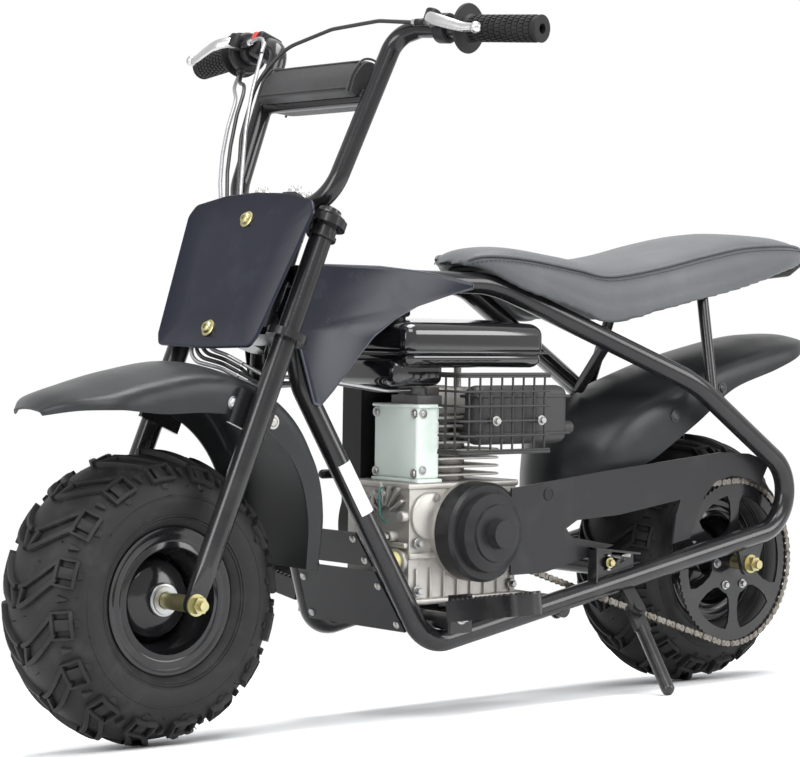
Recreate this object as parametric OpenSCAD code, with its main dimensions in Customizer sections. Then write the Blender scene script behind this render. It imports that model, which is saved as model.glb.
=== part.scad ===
/* [Stance] */
// Distance between the two wheel axles
wheelbase = 945; // [925:5:975]
// Lean towards the side stand, degrees
lean = 7; // [6:0.5:8]
// Rake of the fork from the vertical, degrees
rake = 23; // [22:0.5:24]

/* [Tyres] */
// Tyre radius out to the lug tips
tyre_r = 177; // [174:1:180]
// Half width of the tyre at the side walls
tyre_half_w = 72; // [70:0.5:74]
// Height of the tread lugs
lug_h = 7; // [5:0.5:8]
// Tread pitches round one tyre
lug_count = 16; // [12:1:18]
// Radius of the tread across the tyre
crown_r = 88; // [80:1:96]

/* [Rims] */
// Bead seat radius of the rim
bead_r = 76; // [74:0.5:78]
// Radius of the rim flange
flange_r = 87.5; // [84:0.5:90]
// Half width over the rim flanges
rim_half_w = 59; // [56:0.5:62]
// Sheet thickness of the rim
rim_wall = 3; // [2:0.25:4]
// Radius of the wheel hub
hub_r = 20; // [18:0.5:24]
// Half length of the wheel hub
hub_half_w = 50; // [46:1:54]
// Diameter of both axles
axle_d = 12; // [10:0.5:14]

/* [Fork and steering] */
// Distance between the centres of the fork legs
fork_gauge = 207; // [205:1:215]
// Outer diameter of a fork leg
fork_d = 28; // [24:0.5:30]
// Steering axis behind the fork legs
steer_offset = 25; // [22:0.5:28]
// Lower clamp, distance up the fork from the axle
lower_clamp_s = 338; // [330:1:344]
// Upper clamp, distance up the fork from the axle
upper_clamp_s = 488; // [482:1:494]
// Thickness of the fork clamps
clamp_t = 10; // [8:0.5:12]
// Outer diameter of the head tube
head_d = 44; // [40:1:48]
// Largest steering angle each way, degrees
steer_limit = 32; // [20:1:34]

/* [Handlebar] */
// Outer diameter of the handlebar tube
bar_d = 24; // [22:0.5:26]
// Handlebar centre, distance up the fork from the axle
bar_s = 509; // [505:1:514]
// Grips, distance up the fork from the axle
grip_s = 749; // [730:1:770]
// Half width over the grip ends
bar_half_w = 330; // [310:5:350]
// How far the grips sweep back at their ends
bar_sweep = 35; // [20:1:50]
// Outer diameter of the grips
grip_d = 33; // [30:0.5:36]
// Length of a grip without its flange
grip_len = 108; // [100:1:116]
// Diameter of the flange at the inner end of a grip
grip_flange_d = 60; // [54:1:64]
// Radius of the hole in the end of a grip
bar_end_r = 6; // [4:0.25:8]
// Crossbar, distance up the fork from the axle
cross_s = 656; // [640:1:670]
// Diameter of the crossbar
cross_d = 19; // [16:0.5:20]

/* [Number plate] */
// Half width of the plate at its upper corners
plate_top_w = 125; // [110:1:130]
// Half width of the plate at its lower corners
plate_low_w = 100; // [90:1:110]
// Plate in front of the fork legs
plate_x = 36; // [34:0.5:40]
// Thickness of the plate
plate_t = 3; // [2:0.25:4]

/* [Frame] */
// Outer diameter of the frame tubes
tube_d = 28; // [25:0.5:30]
// Half spacing of the hoops at the rear axle
rear_y = 130; // [128:0.5:134]
// Half spacing of the hoops at the lower front corner
low_y = 110; // [106:0.5:114]
// Height of the top tubes at the head tube
top_z = 562; // [556:1:568]
// Diameter of the smaller cross tubes
brace_d = 22; // [18:0.5:24]
// Thickness of welded frame plates
sheet_t = 5; // [4:0.5:6]

/* [Engine] */
// Crankshaft height
crank_z = 241; // [238:0.5:244]
// Crankshaft behind the front axle
crank_x = 458; // [455:1:462]
// Radius of the round clutch cover
cover_r = 64; // [60:0.5:66]
// Fins on the cylinder
fin_count = 9; // [6:1:11]
// Length of the fuel tank
tank_len = 243; // [230:1:250]
// Half width of the fuel tank
tank_half_w = 80; // [70:1:86]

/* [Drive] */
// Teeth of the rear sprocket
sprocket_teeth = 72; // [60:12:84]
// Pitch of the chain
chain_pitch = 10; // [9.5:0.1:10.2]
// Middle plane of the chain
chain_y = 97; // [96:0.25:98]

/* [Seat] */
// Half width of the seat at its widest
seat_half_w = 108; // [100:1:112]
// Height of the seat top at the tail
seat_top_z = 643; // [635:1:650]

/* [Side stand] */
// Side stand pivot behind the front axle
stand_x = 700; // [690:5:710]
// Side stand pivot, distance left of the middle
stand_y = 140; // [138:0.5:144]
// Side stand pivot height on the upright bike
stand_z = 128; // [124:1:132]
// Splay of the side stand from the upright bike's vertical, degrees
stand_splay = 40; // [36:1:44]
// Foot ahead of the pivot, degrees
stand_forward = 8; // [4:1:12]
// Diameter of the side stand tube
stand_d = 18; // [16:0.5:20]

/* [Clearances] */
// Gap between a seated piece and its seat
seat_gap = 0.3; // [0.2:0.05:0.5]
// Radial gap round a turning shaft
run_gap = 0.3; // [0.2:0.05:0.5]

/* [Hidden] */

$fn = 48;
wheel_fn = 96;
axle_z = 177;

// Rolling contact: the tread is an arc of crown_r + lug_h about this radius
tread_centre_r = tyre_r - lug_h - crown_r;
hub_height = tread_centre_r * cos(lean) + crown_r + lug_h;

// Middle of the parked bike's box, seen in its own upright frame
tail_x = 1166;
loop_d = 10;
peg_y = 158;
peg_len = 132;
peg_z = 150;
shift_x = (tail_x + loop_d / 2 - tyre_r) / 2;
shift_y = -((bar_half_w - peg_y - peg_len) * cos(lean) + grip_s * cos(rake) * sin(lean) + 7.5) / 2;

module parked() {
  translate([shift_x, shift_y, hub_height])
    rotate([-lean, 0, 0])
      translate([0, 0, -axle_z])
        children();
}

// Fork frame: origin on the front axle, z up along the fork, x forward
module on_fork() {
  translate([0, 0, axle_z])
    rotate([0, -rake, 0])
      children();
}

function unit(v) = v / norm(v);
function turn(u, w) = acos(max(-1, min(1, u * w)));
function mirrored(path) = [for (p = path) [p.x, -p.y, p.z]];
function heading(path, i) = unit(path[i + 1] - path[i]);
function trim(path, bends, i) =
  (i == 0 || i == len(path) - 1) ? 0
  : bends[i] * tan(turn(heading(path, i - 1), heading(path, i)) / 2);

module bar_between(a, b, d) {
  v = b - a;
  translate(a)
    rotate([0, acos(v.z / norm(v)), atan2(v.y, v.x)])
      cylinder(d = d, h = norm(v));
}

module elbow(a, p, b, bend, d) {
  u = unit(p - a);
  w = unit(b - p);
  angle = turn(u, w);
  inward = unit(w - u * cos(angle));
  centre = p - u * bend * tan(angle / 2) + inward * bend;
  side = cross(-inward, u);
  multmatrix([
    [-inward.x, u.x, side.x, centre.x],
    [-inward.y, u.y, side.y, centre.y],
    [-inward.z, u.z, side.z, centre.z],
    [0, 0, 0, 1]
  ])
    rotate_extrude(angle = angle)
      translate([bend, 0])
        circle(d = d);
}

// Tube along corner points, with a bend radius at each inner corner
module bent_tube(path, bends, d) {
  for (i = [0 : len(path) - 2]) {
    u = heading(path, i);
    bar_between(path[i] + u * trim(path, bends, i), path[i + 1] - u * trim(path, bends, i + 1), d);
  }
  for (i = [1 : len(path) - 2])
    elbow(path[i - 1], path[i], path[i + 1], bends[i], d);
}

// Rings of a swept tube: each is a point and the direction of travel there
function bend_rings(a, p, b, bend) =
  let (
    u = unit(p - a),
    w = unit(b - p),
    angle = turn(u, w),
    inward = unit(w - u * cos(angle)),
    centre = p - u * bend * tan(angle / 2) + inward * bend,
    steps = max(3, ceil(angle / 11))
  )
  [for (i = [0 : steps]) let (g = angle * i / steps)
    [centre + bend * (u * sin(g) - inward * cos(g)), u * cos(g) + inward * sin(g)]];

function path_rings(path, bends) =
  let (last = len(path) - 1)
  concat(
    [[path[0], heading(path, 0)]],
    [for (i = [1 : last - 1]) each bend_rings(path[i - 1], path[i], path[i + 1], bends[i])],
    [[path[last], heading(path, last - 1)]]
  );

function carried(n, t) = unit(n - (n * t) * t);

// Tube of many flats along corner points, with a bend radius at each inner corner
module swept_tube(path, bends, d, sides = 16) {
  rings = path_rings(path, bends);
  first = carried(abs(rings[0][1].z) > 0.9 ? [1, 0, 0] : [0, 0, 1], rings[0][1]);
  count = len(rings);
  normals = [
    for (i = 0, n = first; i < count; i = i + 1, n = i < count ? carried(n, rings[i][1]) : n) n
  ];
  points = [
    for (i = [0 : count - 1], j = [0 : sides - 1])
      let (n = normals[i], b = cross(rings[i][1], n), g = 360 * j / sides)
      rings[i][0] + d / 2 * (n * cos(g) + b * sin(g))
  ];
  polyhedron(points, concat(
    [[for (j = [0 : sides - 1]) j]],
    [
      for (i = [0 : count - 2], j = [0 : sides - 1])
        let (a = i * sides + j, b = i * sides + (j + 1) % sides)
        each [[a, a + sides, b + sides], [a, b + sides, b]]
    ],
    [[for (j = [sides - 1 : -1 : 0]) (count - 1) * sides + j]]
  ));
}

// Cylinder along y between two planes
module y_rod(d, y0, y1) {
  translate([0, y0, 0])
    rotate([-90, 0, 0])
      cylinder(d = d, h = y1 - y0);
}

// Revolved profile of [radius, y] points about the y axis
module y_revolve(points, fn = wheel_fn) {
  rotate([-90, 0, 0])
    rotate_extrude($fn = fn)
      polygon(points);
}

// Plate in the x-z plane, from y0 to y0 + t
module xz_plate(points, y0, t) {
  translate([0, y0 + t, 0])
    rotate([90, 0, 0])
      linear_extrude(t)
        polygon(points);
}

// Closed skin through loops of equally many points
module loft(loops) {
  n = len(loops[0]);
  m = len(loops);
  points = [for (l = loops) each l];
  sides = [
    for (i = [0 : m - 2]) for (j = [0 : n - 1]) each [
      [i * n + j, i * n + (j + 1) % n, (i + 1) * n + (j + 1) % n],
      [i * n + j, (i + 1) * n + (j + 1) % n, (i + 1) * n + j]
    ]
  ];
  half = n / 2 - 2;
  last = (m - 1) * n;
  front = [for (j = [0 : half]) each [[n - 1 - j, n - 2 - j, j + 1], [n - 1 - j, j + 1, j]]];
  back = [for (j = [0 : half]) each [
    [last + j, last + j + 1, last + n - 2 - j],
    [last + j, last + n - 2 - j, last + n - 1 - j]
  ]];
  polyhedron(points, concat(front, sides, back));
}

// Box with round edges, between two corners
module soft_box(low, high, r) {
  hull()
    for (x = [low.x + r, high.x - r], y = [low.y + r, high.y - r], z = [low.z + r, high.z - r])
      translate([x, y, z])
        sphere(r, $fn = 16);
}

// Tyre section, from the middle outwards: low surface points and the lugs on them
// columns: radius, half width, lift direction in degrees, lug height, twist in pitches
rib_angles = [[lean, 0], [20, 0.2], [33, 0.46]];
function crown_row(a, height, twist) =
  [tread_centre_r + crown_r * cos(a), crown_r * sin(a), a, height, twist];
block_rise = 4;
block_twist = 0.56;
tyre_rows = concat(
  [for (rib = rib_angles) crown_row(rib[0], lug_h, rib[1])],
  [
    [151, 55, 48, block_rise, block_twist],
    [140, 64.5, 48, block_rise, block_twist],
    [137, tyre_half_w * 0.93, 0, 0, block_twist],
    [118, tyre_half_w, 0, 0, block_twist],
    [flange_r + 5, rim_half_w + 3, 0, 0, block_twist],
    [flange_r + 0.8, rim_half_w - rim_wall - seat_gap, 0, 0, block_twist],
    [bead_r + 1.2, rim_half_w - rim_wall - seat_gap, 0, 0, block_twist]
  ]
);
// Edges of a lug within its pitch: low, raised, raised, low
lug_edges = [0, 0.05, 0.33, 0.38];
lug_lifts = [0, 1, 1, 0];
row_count = len(tyre_rows);

function tyre_point(row, side, turn_angle, lift) =
  let (r = row[0] + lift * row[3] * cos(row[2]), y = row[1] + lift * row[3] * sin(row[2]))
  [r * cos(turn_angle), side * y, r * sin(turn_angle)];

function tyre_ring(i, k) =
  let (
    pitch = 360 / lug_count,
    left = [for (q = [row_count - 1 : -1 : 0]) let (row = tyre_rows[q])
      tyre_point(row, 1, -90 + (i + lug_edges[k] - lug_edges[1] + row[4]) * pitch, lug_lifts[k])],
    right = [for (row = tyre_rows)
      tyre_point(row, -1, -90 + (i + lug_edges[k] - lug_edges[1] + row[4]) * pitch, lug_lifts[k])]
  )
  concat(left, right);

module tyre() {
  rings = [for (i = [0 : lug_count - 1], k = [0 : 3]) tyre_ring(i, k)];
  n = 2 * row_count;
  m = len(rings);
  polyhedron(
    [for (ring = rings) each ring],
    [
      for (i = [0 : m - 1]) for (j = [0 : n - 1]) let (a = i * n, b = (i + 1) % m * n, k = (j + 1) % n) each [
        [a + j, a + k, b + k],
        [a + j, b + k, b + j]
      ]
    ]
  );
}

// Pressed steel rim with a domed disc, axis on y
module rim() {
  drop_r = bead_r - 10;
  outer = [
    [flange_r, rim_half_w], [flange_r, rim_half_w - rim_wall], [bead_r, rim_half_w - rim_wall],
    [bead_r, 36], [drop_r, 28], [drop_r, -12], [bead_r, -22],
    [bead_r, rim_wall - rim_half_w], [flange_r, rim_wall - rim_half_w], [flange_r, -rim_half_w]
  ];
  inner = [
    [bead_r - rim_wall, -rim_half_w], [bead_r - rim_wall, -22 + rim_wall / 2],
    [drop_r - rim_wall, -12 + rim_wall / 2], [drop_r - rim_wall, 28 - rim_wall / 2],
    [bead_r - rim_wall, 36 - rim_wall / 2], [bead_r - rim_wall, rim_half_w]
  ];
  y_revolve(concat(outer, inner));
  y_revolve([
    [drop_r - 1, 12], [56, 10], [50, 16], [40, 30], [hub_r - 1, 40],
    [hub_r - 1, 36], [37, 26], [47, 13], [55, 6], [drop_r - 1, 8]
  ]);
  y_revolve([
    [hub_r, hub_half_w - 4], [hub_r - 3, hub_half_w], [axle_d / 2 + run_gap, hub_half_w],
    [axle_d / 2 + run_gap, -hub_half_w], [hub_r - 3, -hub_half_w], [hub_r, 4 - hub_half_w]
  ]);
}

// Axle with spacers, washers and nuts on both sides, axis on y
module axle(hub_y, seat_in, seat_out) {
  y_rod(axle_d, -seat_out - 18, seat_out + 18);
  for (side = [0, 1])
    mirror([0, side, 0]) {
      y_rod(20, hub_y + seat_gap, seat_in - seat_gap);
      y_rod(26, seat_out + seat_gap, seat_out + 2.5);
      translate([0, seat_out + 2.5, 0])
        rotate([-90, 0, 0])
          cylinder(d = 21, h = 9, $fn = 6);
    }
}

module at_front() {
  translate([0, 0, axle_z])
    children();
}

module at_rear() {
  translate([-wheelbase, 0, axle_z])
    children();
}

module front_tyre() { color([0.09, 0.09, 0.1]) parked() at_front() tyre(); }
module rear_tyre() { color([0.09, 0.09, 0.1]) parked() at_rear() tyre(); }
module front_rim() { color([0.13, 0.13, 0.14]) parked() at_front() rim(); }
module rear_rim() { color([0.13, 0.13, 0.14]) parked() at_rear() rim(); }

head_low_s = lower_clamp_s + 14;
head_high_s = upper_clamp_s - clamp_t / 2 - 3;

// Corners of the hoops: the hip over the rear wheel, the rear end and the lower front
hip = [-wheelbase + 115, 124, axle_z + 253];
tail = [-wheelbase - 166, rear_y, axle_z + 68];
knee = [-355, low_y, 103];
waist = [-535, 32, top_z - 2];
hoop_path = [
  [-205, 28, top_z],
  waist,
  hip,
  tail,
  knee,
  [-206, 41, 428],
  [-197, 26, 520]
];
hoop_bends = [0, 130, 180, 58, 45, 60, 0];

module head_solid(d) {
  on_fork()
    translate([-steer_offset, 0, head_low_s])
      cylinder(d = d, h = head_high_s - head_low_s);
}

module hoop(path) {
  difference() {
    swept_tube(path, hoop_bends, tube_d);
    head_solid(head_d + 2 * seat_gap);
  }
}

module frame_left() { color([0.12, 0.12, 0.13]) parked() hoop(hoop_path); }
module frame_right() { color([0.12, 0.12, 0.13]) parked() hoop(mirrored(hoop_path)); }

stem_d = 20;
module head_tube() {
  difference() {
    head_solid(head_d);
    on_fork()
      translate([-steer_offset, 0, head_low_s - 1])
        cylinder(d = stem_d + 2 * run_gap, h = head_high_s - head_low_s + 2);
  }
}

// Point on the straight line between two corners of a hoop
function between(a, b, x) = a + (b - a) * (x - a.x) / (b.x - a.x);
function rail(x) = between(knee, tail, x);
function upper(x) = between(waist, hip, x);
function stay(x) = between(hip, tail, x);

module rail_cut(d) {
  for (side = [0, 1])
    mirror([0, side, 0])
      bar_between(rail(knee.x - 25), rail(tail.x + 121), d);
}

module upper_cut(d) {
  for (side = [0, 1])
    mirror([0, side, 0])
      bar_between(upper(waist.x - 25), upper(hip.x + 30), d);
}

module rear_cut(d) {
  for (side = [0, 1])
    mirror([0, side, 0])
      bar_between(stay(hip.x - 25), stay(tail.x + 51), d);
}

deck_z = 150;
deck_top = deck_z - seat_gap;
deck_x0 = -412;
deck_x1 = -610;
deck_tube_z = deck_top - sheet_t - brace_d / 2 + 1;
cross_rows = [[-430, deck_tube_z], [-592, deck_tube_z], [-738, 176]];
peg_bar_x = -378;
peg_bar_d = 22;

// Struts from the top tubes, meeting on the crown of the rear fender
fender_strut = [-730, 0, 420];
strut_d = 16;

module cross_tube(x, z, half, d) {
  translate([x, 0, z])
    y_rod(d, -half, half);
}

axle_plate_y = 122;
module axle_plate() {
  difference() {
    translate([-wheelbase, axle_plate_y, axle_z])
      difference() {
        union() {
          y_rod(34, 0, sheet_t + 1);
          xz_plate([[-16, -4], [-30, 32], [28, 32], [16, -4]], 0, sheet_t + 1);
        }
        y_rod(axle_d + 2 * run_gap, -1, sheet_t + 2);
      }
    rail_cut(tube_d + 2 * seat_gap);
  }
}

module seat_strut() {
  difference() {
    bar_between([-869, 123, 404], [-890, 76, 575], strut_d);
    rear_cut(tube_d + 2 * seat_gap);
    translate([seat_rows[6][0], -200, seat_rows[6][4] - 2 * seat_gap - pan_t])
      rotate([0, pan_angle, 0])
        translate([-200, 0, 0])
          cube([400, 400, 100]);
  }
}

module fender_tab() {
  difference() {
    bar_between([-905, rear_fender_w + seat_gap, 418], [-905, 126, 384], 12);
    translate([-930, rear_fender_w - 20 + seat_gap, 300])
      cube([50, 20, 200]);
    rear_cut(tube_d + 2 * seat_gap);
  }
}

stand_pivot = [-stand_x, stand_y, stand_z];
stand_boss = 24;
stand_pin_d = 10;
stand_half_t = 4;

module at_stand() {
  translate(stand_pivot)
    rotate([stand_splay, 0, 0])
      children();
}

module stand_bracket() {
  difference() {
    at_stand() {
      y_rod(stand_boss, stand_half_t + seat_gap, stand_half_t + 6);
      translate([-stand_boss / 2, stand_half_t + seat_gap, 0])
        cube([stand_boss, 6 - seat_gap, 42]);
    }
    rail_cut(tube_d + 2 * seat_gap);
  }
  at_stand() {
    y_rod(stand_pin_d, -stand_half_t - 1, stand_half_t + 9);
    y_rod(stand_pin_d + 7, -stand_half_t - 4, -stand_half_t - seat_gap);
    y_rod(stand_pin_d + 7, stand_half_t + 6, stand_half_t + 9);
  }
}

module frame_cross() {
  color([0.12, 0.12, 0.13])
    parked() {
      head_tube();
      difference() {
        union() {
          for (row = cross_rows)
            cross_tube(row[0], row[1], rail(row[0]).y, brace_d);
          translate([deck_x1, -70, deck_top - sheet_t])
            cube([deck_x0 - deck_x1, 140, sheet_t]);
        }
        rail_cut(tube_d + 2 * seat_gap);
      }
      difference() {
        for (side = [0, 1])
          mirror([0, side, 0])
            bar_between(upper(fender_strut.x + 30), fender_strut, strut_d);
        upper_cut(tube_d + 2 * seat_gap);
      }
      cross_tube(peg_bar_x, rail(peg_bar_x).z + (tube_d + peg_bar_d) / 2 + 2, peg_y - 13, peg_bar_d);
      for (side = [0, 1])
        mirror([0, side, 0]) {
          axle_plate();
          seat_strut();
          fender_tab();
        }
      stand_bracket();
    }
}

skid_pitch = 25.4;
module skid_plate() {
  color([0.13, 0.13, 0.15])
    parked()
      translate([-340, 0, 132])
        rotate([0, skid_pitch, 0])
          translate([8, 0, 0])
            rotate([90, 0, 90])
              linear_extrude(3)
                union() {
                  polygon([[-95.2, -8], [95.2, -8], [77.2, 76], [-77.2, 76]]);
                  polygon([[-76.1, 84], [76.1, 84], [66.1, 130], [-66.1, 130]]);
                }
}

panel_tilt = 7;
panel_toe = 0.7;
panel_outline = [
  [-200, 580], [-328, 578], [-385, 574], [-445, 567], [-488, 559], [-485, 551], [-441, 542],
  [-386, 527], [-348, 510], [-310, 487], [-273, 452], [-240, 420], [-217, 399], [-208, 404],
  [-186, 490]
];

module side_panel() {
  translate([-205, 28 + tube_d / 2 + seat_gap, top_z])
    rotate([panel_tilt, 0, -panel_toe])
      xz_plate([for (p = panel_outline) [p.x + 205, p.y - top_z]], 0, 3);
}

module side_panel_left() { color([0.13, 0.14, 0.19]) parked() side_panel(); }
module side_panel_right() { color([0.13, 0.14, 0.19]) parked() mirror([0, 1, 0]) side_panel(); }

// Seat rows: x, half width, top, side bottom, middle bottom
seat_rows = [
  [-480, 24, 590, 580, 584],
  [-505, 50, 606, 577, 583],
  [-560, 74, 612, 550, 574],
  [-640, 92, 604, 526, 545],
  [-700, 98, 599, 508, 519],
  [-790, 104, 611, 526, 533],
  [-880, seat_half_w, 630, 545, 552],
  [-960, seat_half_w, seat_top_z, 562, 569],
  [-1050, 100, seat_top_z, 585, 591],
  [-1105, 82, 636, 597, 601],
  [-1130, 58, 620, 604, 606]
];

function seat_loop(r) =
  let (
    x = r[0], w = r[1], top = r[2], low = r[3], mid = r[4], h = top - low,
    skin = [[0.97 * w, low], [w, top - h * 0.6], [0.93 * w, top - h * 0.32],
      [0.75 * w, top - h * 0.12], [0.4 * w, top]],
    lining = [[w - 14, low], [w - 14, mid], [0.8 * (w - 14), mid + 0.5],
      [0.5 * (w - 14), mid + 0.9], [0.2 * (w - 14), mid + 1.1]]
  )
  concat(
    [for (p = skin) [x, -p.x, p.y]],
    [for (i = [4 : -1 : 0]) [x, skin[i].x, skin[i].y]],
    [for (p = lining) [x, p.x, p.y]],
    [for (i = [4 : -1 : 0]) [x, -lining[i].x, lining[i].y]]
  );

module seat_cushion() {
  color([0.3, 0.31, 0.32])
    parked()
      loft([for (r = seat_rows) seat_loop(r)]);
}

pan_t = 4;
pan_angle = atan2(seat_rows[7][4] - seat_rows[6][4], seat_rows[6][0] - seat_rows[7][0]);

function pan_loop(r) =
  let (x = r[0], w = max(6, r[1] - 15), z = r[4] - seat_gap)
  [[x, w, z], [x, -w, z], [x, -w, z - pan_t], [x, w, z - pan_t]];

module seat_base() {
  color([0.1, 0.1, 0.11])
    parked() {
      loft([for (i = [1 : len(seat_rows) - 2]) pan_loop(seat_rows[i])]);
      swept_tube([[-1050, 40, 581], [-1120, 40, 588], [-tail_x, 30, 608], [-tail_x, -30, 608],
        [-1120, -40, 588], [-1050, -40, 581]], [0, 20, 14, 14, 20, 0], loop_d, 12);
    }
}

// Fender section: crown point, normal, half width, edge drop, flange depth, thickness
function fender_loop(x, z, nx, nz, w, drop, skirt, t) =
  let (
    steps = [[1, drop + skirt], [1, drop], [0.7, drop * 0.45], [0.35, drop * 0.1], [0, 0],
      [-0.35, drop * 0.1], [-0.7, drop * 0.45], [-1, drop], [-1, drop + skirt]],
    outer = [for (s = steps) [x - nx * s[1], s[0] * w, z - nz * s[1]]],
    inner = [for (i = [len(steps) - 1 : -1 : 0])
      let (s = steps[i], g = s[1] + (s[1] > drop ? 0 : t))
      [x - nx * g, s[0] * (w - t), z - nz * g]]
  )
  concat(outer, inner);

// x from the hub, z, normal direction in degrees, half width, drop, skirt
front_fender_rows = [
  [165, 404, 62, 30, 6, 4],
  [140, 420, 66, 62, 14, 6],
  [100, 432, 76, 84, 22, 8],
  [40, 447, 82, 86, 24, 26],
  [-37, 457, 92, 86, 25, 34],
  [-110, 438, 118, 86, 16, 35],
  [-165, 394, 138, 86, 8, 34],
  [-200, 335, 158, 86, 4, 30],
  [-212, 270, 176, 86, 3, 26],
  [-206, 203, 188, 86, 3, 22]
];

rear_fender_w = 90;
rear_fender_rows = [
  [-210, 490, 118, 34, 6, 4],
  [-185, 498, 104, 66, 14, 8],
  [-147, 498, 96, 86, 22, 12],
  [-95, 493, 92, 89, 28, 18],
  [5, 473, 80, 90, 29, 24],
  [88, 452, 73, 90, 36, 42],
  [180, 423, 68, 90, 45, 52],
  [233, 397, 54, 90, 51, 46],
  [273, 362, 37, 88, 60, 34],
  [288, 315, 10, 87, 64, 28],
  [289, 262, 0, 86, 62, 24]
];

module fender(rows, hub_x) {
  loft([for (r = rows) fender_loop(r[0] + hub_x, r[1], cos(r[2]), sin(r[2]), r[3], r[4], r[5], 3)]);
}

module front_fender() { color([0.16, 0.17, 0.17]) parked() fender(front_fender_rows, 0); }
module rear_fender() { color([0.16, 0.17, 0.17]) parked() fender(rear_fender_rows, -wheelbase); }

module rear_axle() {
  color([0.62, 0.62, 0.5])
    parked()
      at_rear()
        axle(chain_y + 2, axle_plate_y, axle_plate_y + sheet_t + 1);
}

module folding_peg() {
  strap = 4;
  depth = 48;
  wide = 26;
  translate([peg_bar_x - 18, peg_y - 13 + seat_gap, peg_z - 28])
    cube([36, 5, 48]);
  translate([peg_bar_x, peg_y - 8, peg_z])
    rotate([9, 0, 0])
      difference() {
        union() {
          translate([-depth / 2, -1, -wide / 2])
            cube([depth, peg_len - depth / 2 + 3, wide]);
          translate([0, 2 + peg_len - depth / 2, -wide / 2])
            cylinder(d = depth, h = wide);
        }
        translate([-depth / 2 + strap, 2 + strap, -wide])
          cube([depth - 2 * strap, peg_len - depth / 2 - strap, 2 * wide]);
        translate([0, 2 + peg_len - depth / 2, -wide])
          cylinder(d = depth - 2 * strap, h = 2 * wide);
      }
}

module peg_left() { color([0.1, 0.1, 0.11]) parked() folding_peg(); }
module peg_right() { color([0.1, 0.1, 0.11]) parked() mirror([0, 1, 0]) folding_peg(); }

module at_crank() {
  translate([-crank_x, 0, crank_z])
    children();
}

case_x0 = -360;
case_x1 = -545;
case_y1 = 70;
case_z1 = deck_z + 150;
boss_y = 80;

module crankcase() {
  color([0.62, 0.6, 0.56])
    parked() {
      translate([case_x1, -50, deck_z])
        cube([case_x0 - case_x1, 50 + case_y1, case_z1 - deck_z]);
      at_crank() {
        y_rod(2 * cover_r, case_y1 - 2, boss_y - seat_gap);
        y_rod(20, boss_y - 1, chain_y);
        y_rod(2 * (front_sprocket_r - 2 * seat_gap), chain_y - 1.5, chain_y + 1.5);
      }
    }
}

fin_t = 3;
fin_pitch = 10.5;
fin_x0 = -411;
fin_x1 = -521;
fin_y1 = 62;
fin_z0 = case_z1 + seat_gap;
head_z1 = 424;

module cylinder_block() {
  core_x = -466;
  translate([core_x, 5, fin_z0])
    cylinder(r = 34, h = fin_count * fin_pitch);
  for (i = [0 : fin_count - 1])
    translate([fin_x1, -50, fin_z0 + i * fin_pitch])
      cube([fin_x0 - fin_x1, 50 + fin_y1, fin_t]);
  translate([core_x - 42, -35, fin_z0 + fin_count * fin_pitch - 4])
    cube([78, 80, head_z1 - fin_z0 - fin_count * fin_pitch + 4]);
  for (x = [core_x - 32, core_x + 26])
    translate([x, 5, head_z1 - 1])
      cylinder(r = 5, h = tank_z0 + 10 - head_z1 + 1 - seat_gap);
}

module cylinder_node() { color([0.6, 0.59, 0.57]) parked() cylinder_block(); }

shroud_z1 = 402;
module air_shroud() {
  color([0.72, 0.77, 0.73])
    parked()
      soft_box([fin_x0 + seat_gap, -16, 308], [-372, 70, shroud_z1], 5);
}

module recoil_starter() {
  color([0.1, 0.1, 0.11])
    parked() {
      at_crank()
        y_rod(160, -92, -50 - seat_gap);
      translate([-530, -88, crank_z])
        cube([150, 38 - seat_gap, head_z1 - crank_z]);
      at_crank()
        y_rod(110, -106, -92);
    }
}

tank_x1 = -345;
tank_z0 = 448;
tank_z1 = 508;
module fuel_tank() {
  color([0.07, 0.07, 0.08])
    parked() {
      soft_box([tank_x1 - tank_len, -tank_half_w, tank_z0 + 10], [tank_x1, tank_half_w, tank_z1], 14);
      soft_box([tank_x1 - 80, -60, tank_z0 - 22], [tank_x1 + 6, 62, tank_z0 + 20], 12);
      translate([-388, 0, tank_z1 - 2]) {
        cylinder(r = 17, h = 10);
        translate([0, 0, 9])
          cylinder(r = 21, h = 10);
      }
    }
}

module carburettor() {
  color([0.3, 0.3, 0.3])
    parked() {
      translate([-426, 5, shroud_z1 + seat_gap])
        cube([42, 50, 12]);
      translate([-404, 30, shroud_z1 + 8])
        cylinder(r = 14, h = 14);
    }
}

module muffler() {
  color([0.13, 0.13, 0.13])
    parked() {
      soft_box([-604, 76, 352], [-440, 108, 428], 12);
      translate([-480, fin_y1 + seat_gap, 375])
        rotate([-90, 0, 0])
          cylinder(r = 12, h = 20);
    }
}

guard_d = 3;
module muffler_guard() {
  x0 = -402;
  x1 = -556;
  y1 = 120;
  y0 = 76;
  z0 = 346;
  z1 = 440;
  rise = (z1 - z0) / 5;
  color([0.12, 0.12, 0.12])
    parked() {
      for (i = [0 : 5])
        bent_tube([[x0, y0, z0 + i * rise], [x0, y1, z0 + i * rise], [x1, y1, z0 + i * rise]],
          [0, 8, 0], guard_d);
      for (i = [0 : 7])
        translate([x0 - 14 - i * 19, y1 - guard_d * 0.8, z0 - 4])
          cylinder(d = guard_d, h = z1 - z0 + 8, $fn = 16);
      for (i = [0 : 1])
        translate([x0 - guard_d * 0.8, y0 + 10 + i * 18, z0 - 4])
          cylinder(d = guard_d, h = z1 - z0 + 8, $fn = 16);
      for (x = [-460, -540])
        translate([x, 0, z0 + 2 * rise])
          y_rod(7, 108 + seat_gap, y1);
    }
}

module oil_cap() {
  color([0.78, 0.76, 0.5])
    parked()
      translate([case_x0 + seat_gap, 52, 205])
        rotate([0, 90, 0])
          cylinder(r = 13, h = 26);
}

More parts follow.
